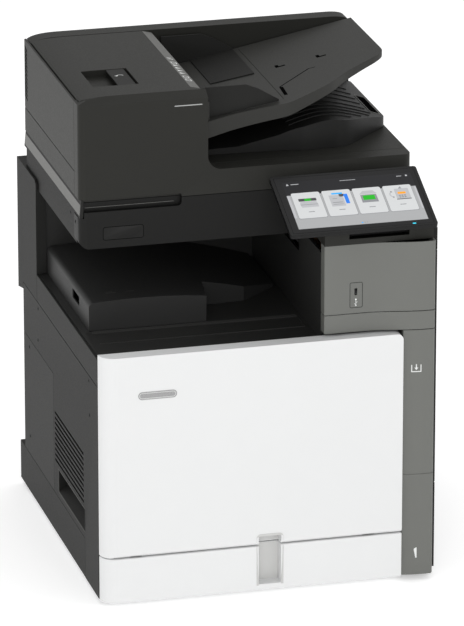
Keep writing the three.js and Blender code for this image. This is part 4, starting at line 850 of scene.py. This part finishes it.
# ------------------------------------------------------------------ grey column
@dataclass
class ColumnMarks(SubAssembly):
    """The frame round the stick socket and the small signs on the grey column."""

    socket_frame: tuple[Point, Point] = ((441.0, 507.0), (464.0, 553.0))
    bottle_sign: Point = (557.0, 393.0)
    tray_sign: Point = (559.0, 52.0)

    def build(self) -> None:
        """Makes the frame and the signs."""
        low, high = self.socket_frame
        Mark("socket_frame", "chassis", Finishes.CHARCOAL, "charcoal_plastic", Facing.FRONT).ring(
            frame_lines(low, high, 3.2, 1.0)
        )
        Mark("socket_sign", "chassis", Finishes.MARK, "white_plastic", Facing.FRONT).lay(
            bar((452, 511.5), (452, 521), 0.9), disc((452, 522.2), 1.5), disc((452, 511.5), 1.3),
            bar((449.4, 515), (452, 513), 0.8), bar((454.6, 518), (452, 516), 0.8),
        )
        self._bottle()
        self._numeral()

    def _bottle(self) -> None:
        """Makes the sign of an open container with a drop over it."""
        u, v = self.bottle_sign
        Mark("bottle_sign", "chassis", Finishes.MARK, "white_plastic", Facing.FRONT).lay(
            bar((u - 8, v - 6.5), (u + 8, v - 6.5), 1.6),
            bar((u - 8, v - 7.2), (u - 8, v + 6), 1.6),
            bar((u + 8, v - 7.2), (u + 8, v + 6), 1.6),
            [(u - 3.4, v + 0.8), (u + 3.4, v + 0.8), (u, v - 3.8)],
            bar((u, v + 0.6), (u, v + 7), 1.8),
        )

    def _numeral(self) -> None:
        """Makes the tray's number."""
        u, v = self.tray_sign
        Mark("tray_numeral", "chassis", Finishes.MARK, "white_plastic", Facing.FRONT).lay(
            [
                (u + 1.8, v + 9.5), (u + 0.2, v + 9.5), (u - 3.2, v + 7.2), (u - 3.2, v + 5.0),
                (u - 0.4, v + 6.6), (u - 0.4, v - 9.5), (u + 1.8, v - 9.5),
            ],
        )


# ------------------------------------------------------------------ left side
@dataclass
class LeftSide(SubAssembly):
    """Cover screws, the lifting grip's rim and shade, and the pale strip on the left side."""

    cover_screws: tuple[Point, ...] = ((486, 387), (489, 327), (95, 388), (92, 326), (560, 120), (560, 290))
    scanner_screws: tuple[Point, ...] = ((243, 644.5), (185, 646.5))
    head: float = 3.4
    strip: tuple[Point, Point] = ((160.0, 664.0), (584.0, 683.0))
    grip: tuple[Point, Point] = ((133.0, 116.0), (330.0, 136.6))
    rim_outer: tuple[Point, Point] = ((129.0, 95.0), (334.0, 141.0))
    rim_inner: tuple[Point, Point] = ((131.4, 97.4), (331.6, 138.4))

    def build(self) -> None:
        """Makes the screws, the grip's rim and shade, and the pale strip."""
        for number, place in enumerate(self.cover_screws):
            self._screw(f"cover_screw_{number + 1}", place)
        for number, place in enumerate(self.scanner_screws):
            self._screw(f"scanner_screw_{number + 1}", place)
        Mark("grip_lip", "chassis", Finishes.BLACK, "black_plastic", Facing.LEFT, proud=0.3).ring(
            (rounded(*self.rim_outer, 3, 4), rounded(*self.rim_inner, 1.4, 4))
        )
        Mark("grip_shade", "chassis", Finishes.HOLLOW, "black_plastic", Facing.LEFT, proud=0.15).lay(
            rounded(*self.grip, 1.0, 3)
        )
        Mark(
            "scanner_strip", "chassis", Finishes.STRIP, "grey_plastic", Facing.LEFT, proud=0.25, step=12,
        ).lay(rounded(*self.strip, 1.0, 3))

    def _screw(self, name: str, place: Point) -> None:
        """Makes one sunk screw, with painted shade for the cross in its head.

        Args:
            name: The piece's name.
            place: Its middle, as seen from the left.
        """
        u, v = place
        Mark(name, "chassis", Finishes.SCREW, "charcoal_plastic", Facing.LEFT, proud=0.3).lay(
            disc(place, self.head)
        )
        # Painted shade: a dark cross stands for the recess in the screw's head.
        Mark(name + "_cross_shade", "chassis", Finishes.HOLLOW, "black_plastic", Facing.LEFT, proud=0.06).lay(
            [
                (u - 0.5, v - 2), (u + 0.5, v - 2), (u + 0.5, v - 0.5), (u + 2, v - 0.5), (u + 2, v + 0.5),
                (u + 0.5, v + 0.5), (u + 0.5, v + 2), (u - 0.5, v + 2), (u - 0.5, v + 0.5), (u - 2, v + 0.5),
                (u - 2, v - 0.5), (u - 0.5, v - 0.5),
            ],
        )


# ------------------------------------------------------------------ scanner
@dataclass
class ScannerFront(SubAssembly):
    """The blank plate on the scanner's front and the painted highlight along the edge below the lid's grip.
    """

    plate: tuple[Point, Point] = ((42.0, 619.0), (112.0, 641.0))
    highlight_line: tuple[float, float] = (12.0, 168.0)
    highlight_height: float = 676.4

    def build(self) -> None:
        """Makes the plate with its border, and the painted highlight along the edge below the lid's grip."""
        low, high = self.plate
        Mark("blank_plate", "chassis", Finishes.BEZEL, "black_plastic", Facing.FRONT, proud=0.25).lay(
            rounded(low, high, 3.5)
        )
        Mark(
            "blank_plate_border", "chassis", Finishes.HOLLOW, "black_plastic", Facing.FRONT, proud=0.06,
        ).ring(frame_lines((low[0] - 1, low[1] - 1), (high[0] + 1, high[1] + 1), 4.5, 1.0))
        # Painted highlight: a pale bar where light catches the edge below the lid's grip.
        Mark("grip_edge_highlight", "chassis", Finishes.STRIP, "grey_plastic", Facing.FRONT, proud=0.2).lay(
            bar((self.highlight_line[0], self.highlight_height), (self.highlight_line[1], self.highlight_height), 0.9)
        )


# ------------------------------------------------------------------ feeder
@dataclass
class Feeder(SubAssembly):
    """The painted shade of the slatted corner, the light line, the strip of small signs and the latch's
    sign.
    """

    slats: int = 13
    slat_low: float = 752.0
    slat_pitch: float = 7.4
    corner: tuple[float, float] = (551.0, 571.5)
    light_line: tuple[Point, Point] = ((168.0, 847.6), (217.0, 849.4))
    strip: tuple[float, float, float] = (204.6, 221.4, 190.0)
    latch_sign: Point = (104.0, 284.0)
    sheet_signs: tuple[float, ...] = (236.0, 254.0, 340.0)
    arrow_signs: tuple[float, ...] = (276.0, 292.0, 308.0, 324.0)

    def build(self) -> None:
        """Makes every mark on the feeder."""
        self._grille()
        low, high = self.light_line
        Mark("light_line", "lid", Finishes.LINE, "white_plastic", Facing.FRONT).lay(
            rounded(low, high, 0.8, 4)
        )
        self._signs()
        u, v = self.latch_sign
        Mark("latch_sign", "latch", Finishes.MARK, "white_plastic", Facing.TOP).lay(
            arc((u, v), 7, 20, 150) + arc((u, v), 5.7, 150, 20),
            [(u - 9.5, v + 3), (u - 2.5, v + 4.5), (u - 5.5, v - 1.5)],
        )

    def _grille(self) -> None:
        """Makes the painted shade of the slanting slots at the rear corner of the left panel, as dark marks.
        """
        front, rear = self.corner
        slots = []
        for number in range(self.slats):
            z = self.slat_low + number * self.slat_pitch
            slots.append([(front, z), (rear, z + 6.5), (rear, z + 10.4), (front, z + 3.9)])
        # Painted shade: dark marks stand for the inside of the slots.
        Mark("corner_slot_shade", "lid", Finishes.HOLLOW, "black_plastic", Facing.LEFT, proud=0.16).lay(*slots)

    def _signs(self) -> None:
        """Makes the pale strip beside the tray, with its small signs."""
        left, right, front = self.strip
        rear = DATUM.box("feeder_top_cover")[1].y - 2
        Mark("sign_strip", "feeder_cover", Finishes.STRIP, "grey_plastic", Facing.TOP, proud=0.2).lay(
            rounded((left, front), (right, rear), 1.2, 3)
        )
        u = (left + right) / 2
        shapes: list[list[Point]] = []
        for v in self.sheet_signs:
            shapes += [
                bar((u - 4.6, v - 5), (u - 4.6, v + 5), 1.8), bar((u + 4.6, v - 5), (u + 4.6, v + 5), 1.8),
                bar((u - 4.6, v + 5), (u + 4.6, v + 5), 1.8), bar((u - 4.6, v - 5), (u + 4.6, v - 5), 1.8),
            ]
        for v in self.arrow_signs:
            shapes.append([(u - 5, v - 4.4), (u + 5, v), (u - 5, v + 4.4)])
        shapes += [bar((u - 5, 364), (u + 5, 364), 2.4), bar((u - 5, 371), (u + 3, 371), 2.2)]
        Mark("strip_signs", "feeder_cover", Finishes.MARK, "white_plastic", Facing.TOP, proud=0.08).lay(
            *shapes
        )


# ------------------------------------------------------------------ trays of the feeder
@dataclass
class OriginalTray(SubAssembly):
    """Marks, mouldings and painted shade on the tray that holds originals and on the one below it."""

    lower_ribs: tuple[Point, ...] = ((254.0, 508.0), (274.0, 532.0), (294.0, 552.0), (314.0, 560.0))
    rib_left: float = 396.0
    size_marks: tuple[Point, ...] = ((406.0, 376.0), (479.0, 372.0))
    catch: tuple[Point, Point] = ((564.0, 327.0), (580.0, 428.0))
    under_tray: float = 790.0

    def build(self) -> None:
        """Makes the painted shade of the recess and of the catch's slot, the dark size marks, the catch's
        rim and the ribs.
        """
        # Painted shade: a dark wedge at the recess's deep end and a dark line along its upper edge stand in
        # for the tapered recess.
        Mark("tray_recess_wall", "input_tray", Finishes.HOLLOW, "black_plastic", Facing.TOP, proud=0.1).lay(
            [(382, 231), (388, 229), (391, 274), (385, 277)],
        )
        Mark("tray_recess_edge_shade", "input_tray", Finishes.HOLLOW, "black_plastic", Facing.TOP, proud=0.08).lay(
            bar((386, 276.5), (452, 329.5), 2.4), bar((452, 329.5), (464, 328.5), 1.6),
        )
        # Painted shade: the small recessed size marks are laid as dark marks.
        Mark("tray_size_marks", "input_tray", Finishes.HOLLOW, "black_plastic", Facing.TOP, proud=0.1).lay(
            *([(u, v), (u + 17, v), (u + 17, v + 5), (u + 6, v + 5), (u + 6, v + 13), (u, v + 13)]
              for u, v in self.size_marks)
        )
        (left, front), (right, rear) = self.catch
        # Painted shade: a dark patch stands for the inside of the catch's slot.
        Mark(
            "catch_slot", "lid", Finishes.HOLLOW, "black_plastic", Facing.TOP, proud=0.1,
            start=self.under_tray,
        ).lay(rounded((left, front), (right, rear), 3, 4))
        Mark(
            "catch_rim", "lid", Finishes.STRIP, "black_plastic", Facing.TOP, proud=0.9,
            start=self.under_tray,
        ).ring((
            rounded((left - 2, front - 2), (right + 2, rear + 2), 4.6, 4),
            rounded((left - 0.4, front - 0.4), (right + 0.4, rear + 0.4), 3.2, 4),
        ))
        for number, (y, end) in enumerate(self.lower_ribs):
            Mark(
                f"lower_rib_{number + 1}", "lid", Finishes.OUT_TRAY, "black_plastic", Facing.TOP, proud=1.7,
                start=self.under_tray + 2, step=9,
            ).lay(bar((self.rib_left, y), (end, y), 3.0))


# ------------------------------------------------------------------ output bin
@dataclass
class OutputBin(SubAssembly):
    """Low steps on the bin's floor, small signs on its block and the ribs on its right wall, which are
    painted paler as a highlight.
    """

    steps_at: tuple[float, ...] = (110.0, 169.0)
    step_ends: tuple[float, float] = (24.0, 388.0)
    step_half: float = 2.5
    under_scanner: float = 600.0
    ribs: int = 5
    rib_front: float = 80.0
    rib_pitch: float = 19.0
    rib_lean: float = 19.0
    rib_width: float = 3.0
    rib_heights: tuple[float, float] = (520.0, 596.0)

    def build(self) -> None:
        """Makes the steps, the block's signs and the ribs."""
        left, right = self.step_ends
        for number, y in enumerate(self.steps_at):
            Mark(
                f"bin_step_{number + 1}", "chassis", Finishes.BIN, "black_plastic", Facing.TOP, proud=1.4,
                start=self.under_scanner, step=20,
            ).lay(rounded((left, y - self.step_half), (right, y + self.step_half), 1.2, 2))
        Mark(
            "block_signs", "chassis", Finishes.FAINT, "black_plastic", Facing.TOP, proud=0.08,
            start=self.under_scanner,
        ).lay(
            bar((60, 216), (78, 216), 2.2), bar((60, 222), (72, 222), 1.6), bar((96, 216), (110, 216), 2.2),
        )
        self._ribs()

    def _ribs(self) -> None:
        """Makes the slanting ribs high on the bin's right wall, in a paler copy of the bin's moulding as a
        painted highlight.
        """
        wall = DATUM.box("output_bin")[1].x - 3
        low, high = self.rib_heights
        for number in range(self.ribs):
            foot = self.rib_front + number * self.rib_pitch
            head = foot + self.rib_lean
            outline = [
                (foot, low), (foot + self.rib_width, low), (head + self.rib_width, high), (head, high),
            ]
            rib = Workpiece.across(f"wall_rib_{number + 1}", outline, wall - 2.4, wall + 0.6)
            # Painted highlight: the ribs are paler than the wall they stand on.
            rib.fit("chassis", Finishes.RIB, "black_plastic", edge=0.4)


# ------------------------------------------------------------------ touch panel
@dataclass
class TouchPanel(SubAssembly):
    """The lit display of the tilting panel: a dark heading, four cards with signs, and a lamp."""

    left: float = 329.0
    front: float = -10.0
    height: float = 655.5
    tilt: float = 22.7
    shown: tuple[float, float, float, float] = (18.0, 15.0, 247.0, 138.5)
    heading: float = 103.0
    card_left: float = 26.0
    card_pitch: float = 54.1
    card_low: float = 41.5
    card_high: float = 108.0
    card_width: float = 50.0
    cards: int = 4
    lowest_top: float = -0.04
    layer_step: float = 0.07
    sunk: float = -0.25

    def _plate(self, name: str, outlines: list[list[Point]], layer: int, finish: Finish) -> None:
        """Makes thin plates on the panel's slope.

        Args:
            name: The piece's name.
            outlines: Closed outlines, from the panel's front left corner.
            layer: How many plates lie under it.
            finish: Its finish.
        """
        slope = math.radians(self.tilt)
        top = self.lowest_top + layer * self.layer_step
        bottom = self.sunk if layer == 0 else top - 0.1
        work = bmesh.new()
        for outline in outlines:
            rows = []
            for w in (top, bottom):
                rows.append([
                    work.verts.new(DATUM.at(
                        self.left + u,
                        self.front + v * math.cos(slope) - w * math.sin(slope),
                        self.height + v * math.sin(slope) + w * math.cos(slope),
                    ))
                    for u, v in outline
                ])
            caps = [work.faces.new(row) for row in rows]
            bmesh.ops.triangulate(work, faces=caps)
            for i in range(len(outline)):
                j = (i + 1) % len(outline)
                work.faces.new((rows[0][i], rows[0][j], rows[1][j], rows[1][i]))
        bmesh.ops.recalc_face_normals(work, faces=work.faces[:])
        mesh = bpy.data.meshes.new(name)
        work.to_mesh(mesh)
        work.free()
        Workpiece(name, mesh).fit("control_panel", finish, "screen_glass")

    def build(self) -> None:
        """Makes the display from the back layer to the front."""
        left, low, right, high = self.shown
        self._plate("display_field", [rounded((left, low), (right, self.heading), 0.3, 1)], 0,
                    Finishes.FIELD)
        self._plate("display_heading", [rounded((left, self.heading), (right, high), 0.3, 1)], 0,
                    Finishes.HEADING)
        cards, shadows = [], []
        for number in range(self.cards):
            u = self.card_left + number * self.card_pitch
            end = u + self.card_width
            cards.append(rounded((u, self.card_low), (end, self.card_high), 3.4, 5))
            shadows.append(rounded((u - 0.7, self.card_low - 1.2), (end + 0.7, self.heading), 3.4, 5))
        self._plate("display_cards", cards, 2, Finishes.CARD)
        self._plate("card_shadows", shadows, 1, Finishes.UI_MID)
        self._plate("next_cards", [
            rounded((left, self.card_low + 2), (22.5, self.heading - 1), (0.2, 3, 3, 0.2), 4),
            rounded((243.4, self.card_low + 2), (right, self.heading - 1), (3, 0.2, 0.2, 3), 4),
        ], 1, Finishes.UI_PALE)
        self._labels()
        self._print_sign(self.card_left)
        self._copy_sign(self.card_left + self.card_pitch)
        self._scan_sign(self.card_left + 2 * self.card_pitch)
        self._send_sign(self.card_left + 3 * self.card_pitch)
        self._heading_marks()

    def _labels(self) -> None:
        """Makes the short bars that stand for the cards' words, and the page dots."""
        spots = [(51.5, 57.5), (105.5, 57), (159, 57.7), (213.8, 57.9)]
        self._plate("card_labels", [bar((u - 5.4, v), (u + 5.4, v), 1.7) for u, v in spots], 3,
                    Finishes.UI_MID)
        self._plate("page_dot", [disc((131.4, 19.6), 1.5)], 1, Finishes.UI_SKY)
        self._plate("page_dots", [disc((136, 19.6), 1.0), disc((140, 19.6), 1.0)], 1,
                    Finishes.UI_MID)

    def _print_sign(self, left: float) -> None:
        """Makes the sign of a small printer.

        Args:
            left: The card's left edge.
        """
        u = left + 25.5
        self._plate("print_sign_top", [rounded((u - 16, 85.5), (u + 15.5, 92.5), 1.0, 3)], 3,
                    Finishes.UI_DARK)
        self._plate("print_sign_light", [rounded((u - 5.6, 86), (u + 6, 91.8), 0.4, 2)], 4,
                    Finishes.UI_GREEN)
        self._plate("print_sign_trays", [
            [(u - 14, 84.5), (u + 14, 84.5), (u + 16, 77), (u - 15.5, 77)],
            [(u - 15.5, 76), (u + 16, 76), (u + 16, 69.5), (u - 14, 69.5)],
        ], 3, Finishes.UI_PALE)
        self._plate("print_sign_lines", [bar((u - 15, 76.4), (u + 15.5, 76.4), 1.1)], 4, Finishes.UI_MID)

    def _copy_sign(self, left: float) -> None:
        """Makes the sign of a sheet and its copy.

        Args:
            left: The card's left edge.
        """
        u = left + 10
        self._plate("copy_sign_back", [
            [(u + 6, 97), (u + 6, 101), (u + 25, 101), (u + 25, 97)],
        ], 3, Finishes.UI_SKY)
        self._plate("copy_sign_side", [
            [(u + 21, 96.5), (u + 33, 96.5), (u + 33, 71.5), (u + 26.5, 71.5), (u + 26.5, 90)],
        ], 3, Finishes.UI_BLUE)
        self._plate("copy_sign_fold", [[(u + 18, 96.8), (u + 27, 96.8), (u + 24.5, 90), (u + 18, 90)]], 4,
                    Finishes.UI_DARK)
        self._plate("copy_sign_sheet", [
            [(u, 66), (u, 95), (u + 17.5, 95), (u + 24.5, 87), (u + 24.5, 66)],
        ], 4, Finishes.UI_PALE)
        self._plate("copy_sign_lines", [
            bar((u + 5, 86), (u + 13, 86), 1.2), bar((u + 3, 76), (u + 21, 76), 1.6),
            bar((u + 3, 71), (u + 21, 71), 1.0),
        ], 5, Finishes.UI_MID)

    def _scan_sign(self, left: float) -> None:
        """Makes the sign of a flat scanner with its lid open.

        Args:
            left: The card's left edge.
        """
        u = left + 25
        self._plate("scan_sign_lid", [[(u - 15.5, 91.5), (u + 16, 91.5), (u + 10, 100), (u - 8, 100)]], 3,
                    Finishes.UI_PALE)
        self._plate("scan_sign_bed", [
            [(u - 14, 90), (u + 14, 90), (u + 14.5, 70), (u - 14.5, 70)],
        ], 3, Finishes.UI_MID)
        self._plate("scan_sign_light",
                    [[(u - 10.5, 88), (u + 10.5, 88), (u + 10.5, 76.5), (u - 10.5, 76.5)]], 4,
                    Finishes.UI_GREEN)

    def _send_sign(self, left: float) -> None:
        """Makes the sign of a desk machine with a handset.

        Args:
            left: The card's left edge.
        """
        u = left + 18.5
        self._plate("send_sign_body", [rounded((u, 72.5), (u + 25, 99), 1.6, 3)], 3, Finishes.UI_PALE)
        self._plate("send_sign_foot", [bar((u - 0.5, 71.6), (u + 25.5, 71.6), 1.8)], 3, Finishes.UI_DARK)
        self._plate("send_sign_light", [rounded((u + 4.5, 85), (u + 18.5, 90), 0.4, 2)], 4,
                    Finishes.UI_ORANGE)
        keys = [rounded((u + 5 + 4.6 * i, 75 + 4.4 * j), (u + 8.2 + 4.6 * i, 78 + 4.4 * j), 0.4, 2)
                for i in range(3) for j in range(2)]
        self._plate("send_sign_keys", keys, 4, Finishes.UI_MID)
        dial = [arc((u - 3, 85), 8, 100, 250, 10), arc((u - 3, 85), 5.6, 250, 100, 10)]
        self._plate("send_sign_dial", [dial[0] + dial[1]], 3, Finishes.UI_PALE)
        self._plate("send_sign_handset", [
            disc((u - 6.4, 92), 1.6), disc((u - 5, 77.6), 1.6),
            [(u + 8, 99), (u + 12, 104), (u + 14, 99)],
        ], 4, Finishes.UI_MID)

    def _heading_marks(self) -> None:
        """Makes the tiny marks in the heading and the standby lamp in the lower edge."""
        spots: list[list[Point]] = [
            [(23.4, 128.6), (28.6, 128.6), (26, 134)], bar((32, 131), (46, 131), 1.5),
            bar((119, 131.4), (147, 131.4), 1.1),
            bar((220, 131.2), (229, 131.2), 1.4), disc((237.6, 131.6), 2.0),
        ]
        self._plate("heading_marks", spots, 1, Finishes.UI_PALE)
        self._plate("standby_lamp", [rounded((217, 5.7), (223, 7.9), 0.9, 3)], 1, Finishes.LAMP)


# ------------------------------------------------------------------ rear and right side
@dataclass
class RearAndRight(SubAssembly):
    """Screws, a blank plate and sockets at the rear, and the pulls on the right side; the door's pull and
    the socket openings are painted shade.
    """

    rear_screws: tuple[Point, ...] = (
        (50, 360), (330, 360), (575, 360), (50, 600), (330, 600), (575, 600), (560, 120), (330, 110),
    )
    head: float = 3.4
    sockets_low: float = 430.0
    sockets: tuple[tuple[float, float, float], ...] = (
        (90, 17, 15), (116, 13, 7), (138, 13, 12), (162, 8, 5),
    )
    wall: float = 1.2

    def build(self) -> None:
        """Makes the pieces of the rear and of the right side."""
        self._screws()
        self._sockets()
        Mark("blank_rating_plate", "chassis", Finishes.RECESS, "white_plastic", Facing.REAR, proud=0.2).lay(
            rounded((150, 130), (250, 180), 2)
        )
        # Painted shade: a dark patch stands for the inside of the door's pull.
        Mark("right_door_pull", "right_door", Finishes.HOLLOW, "black_plastic", Facing.RIGHT, proud=0.1).lay(
            rounded((44, 400), (60, 500), 4)
        )
        Mark(
            "bypass_pull_line", "bypass_tray", Finishes.FAINT, "black_plastic", Facing.RIGHT, proud=0.1,
        ).lay(bar((130, 540), (270, 540), 0.9), bar((360, 540), (500, 540), 0.9))

    def _screws(self) -> None:
        """Makes the rear cover's screws."""
        for number, place in enumerate(self.rear_screws):
            Mark(
                f"rear_screw_{number + 1}", "chassis", Finishes.SCREW, "charcoal_plastic", Facing.REAR,
                proud=0.3,
            ).lay(disc(place, self.head))

    def _sockets(self) -> None:
        """Makes the rear sockets: painted shade for the openings, with pale rims."""
        low, wall = self.sockets_low, self.wall
        pairs, fills = [], []
        for x, width, height in self.sockets:
            pairs.append(frame_lines((x, low), (x + width, low + height), wall, 1.0))
            fills.append(rounded((x + wall, low + wall), (x + width - wall, low + height - wall), 0.5, 2))
        Mark("socket_rims", "chassis", Finishes.STEEL, "frame_steel", Facing.REAR, proud=0.4).ring(*pairs)
        # Painted shade: dark patches stand for the inside of the openings.
        Mark("socket_opening_shade", "chassis", Finishes.HOLLOW, "black_plastic", Facing.REAR, proud=0.1).lay(
            *fills
        )


# ------------------------------------------------------------------ toner bay
@dataclass
class TonerBay(SubAssembly):
    """Coloured fronts and pulls on the four cartridges, behind the door."""

    behind_door: float = 40.0

    def build(self) -> None:
        """Makes the coloured fronts."""
        tints = {
            "yellow": Finishes.YELLOW, "magenta": Finishes.MAGENTA, "cyan": Finishes.CYAN,
            "black": Finishes.KEY,
        }
        for tint, finish in tints.items():
            low, high = DATUM.box(f"toner_cartridge_{tint}")
            centre = ((low.x + high.x) / 2, (low.z + high.z) / 2)
            mark = Mark(
                f"{tint}_front", "chassis", finish, "black_plastic", Facing.FRONT, proud=1.2,
                start=self.behind_door,
            )
            mark.ring((disc(centre, 22, 28), disc(centre, 15, 28)))
            Mark(
                f"{tint}_pull", "chassis", Finishes.BLACK, "black_plastic", Facing.FRONT, proud=3.0,
                start=self.behind_door,
            ).lay(rounded((centre[0] - 11, centre[1] - 2.5), (centre[0] + 11, centre[1] + 2.5), 2.2, 4))


# ------------------------------------------------------------------ stage
@dataclass
class Studio:
    """A pale floor, soft lights and the camera."""

    target: Colour = (-0.07734, -0.3175, 0.52288)
    distance: float = 10.0353
    yaw: float = 14.60
    pitch: float = 19.21
    lens: float = 339.75
    floor_half: float = 40.0
    sky: float = 0.72

    def camera(self) -> None:
        """Places the long-lens camera at the front left, looking slightly down."""
        yaw, pitch = math.radians(self.yaw), math.radians(self.pitch)
        ahead = Vector((math.sin(yaw) * math.cos(pitch), math.cos(yaw) * math.cos(pitch), -math.sin(pitch)))
        lens = bpy.data.cameras.new("camera")
        lens.lens = self.lens
        lens.sensor_width = 36
        lens.clip_end = 60
        eye = bpy.data.objects.new("camera", lens)
        eye.location = Vector(self.target) - ahead * self.distance
        eye.rotation_euler = ahead.to_track_quat("-Z", "Y").to_euler()
        bpy.context.scene.collection.objects.link(eye)
        bpy.context.scene.camera = eye

    def floor(self) -> None:
        """Lays a pale, plain floor."""
        half = self.floor_half
        work = bmesh.new()
        corners = ((-half, -half), (half, -half), (half, half), (-half, half))
        work.faces.new([work.verts.new((x, y, 0.0)) for x, y in corners])
        mesh = bpy.data.meshes.new("floor")
        work.to_mesh(mesh)
        work.free()
        floor = bpy.data.objects.new("floor", mesh)
        paper = Finish(
            "pale_floor", (0.9, 0.9, 0.9), 0.75, grain=300, relief=0.02, mottle=0.004, wear=0.0, glow=0.46,
            specular=0.1,
        )
        mesh.materials.append(paper.material())
        bpy.context.scene.collection.objects.link(floor)

    def lamp(self, name: str, place: Colour, size: float, power: float, aim: Colour = (0, 0, 0.45)) -> None:
        """Hangs one square soft light.

        Args:
            name: The light's name.
            place: Where it hangs.
            size: Its side in metres.
            power: Its power in watts.
            aim: The point that it faces.
        """
        light = bpy.data.lights.new(name, "AREA")
        light.shape = "SQUARE"
        light.size = size
        light.energy = power
        lamp = bpy.data.objects.new(name, light)
        lamp.location = place
        lamp.rotation_euler = (Vector(aim) - Vector(place)).to_track_quat("-Z", "Y").to_euler()
        bpy.context.scene.collection.objects.link(lamp)

    def light(self) -> None:
        """Sets the even sky and the three soft lights."""
        scene = bpy.context.scene
        scene.view_settings.view_transform = "Standard"
        world = bpy.data.worlds.new("studio")
        world.use_nodes = True
        sky = world.node_tree.nodes["Background"]
        sky.inputs["Color"].default_value = (1.0, 1.0, 1.0, 1.0)
        sky.inputs["Strength"].default_value = self.sky
        scene.world = world
        self.lamp("key", (-0.6, -4.2, 2.2), 2.4, 46)
        self.lamp("side", (-3.4, -0.4, 1.6), 2.0, 9)
        self.lamp("top", (0.6, 0.2, 3.2), 2.2, 9)

    def build(self) -> None:
        """Builds the whole stage."""
        self.camera()
        self.floor()
        self.light()


def main() -> None:
    """Builds the machine's looks in order and reports each piece."""
    logging.basicConfig(level=logging.INFO, format="%(message)s")
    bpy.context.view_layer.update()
    Studio().build()
    PackedNodes().dress()
    machine: tuple[SubAssembly, ...] = (
        FrontDoor(), ColumnMarks(), LeftSide(), ScannerFront(), Feeder(), OriginalTray(), OutputBin(),
        TouchPanel(), RearAndRight(), TonerBay(),
    )
    for assembly in machine:
        assembly.build()
        LOG.info("finished %s", type(assembly).__name__)


if __name__ == "__main__":
    main()
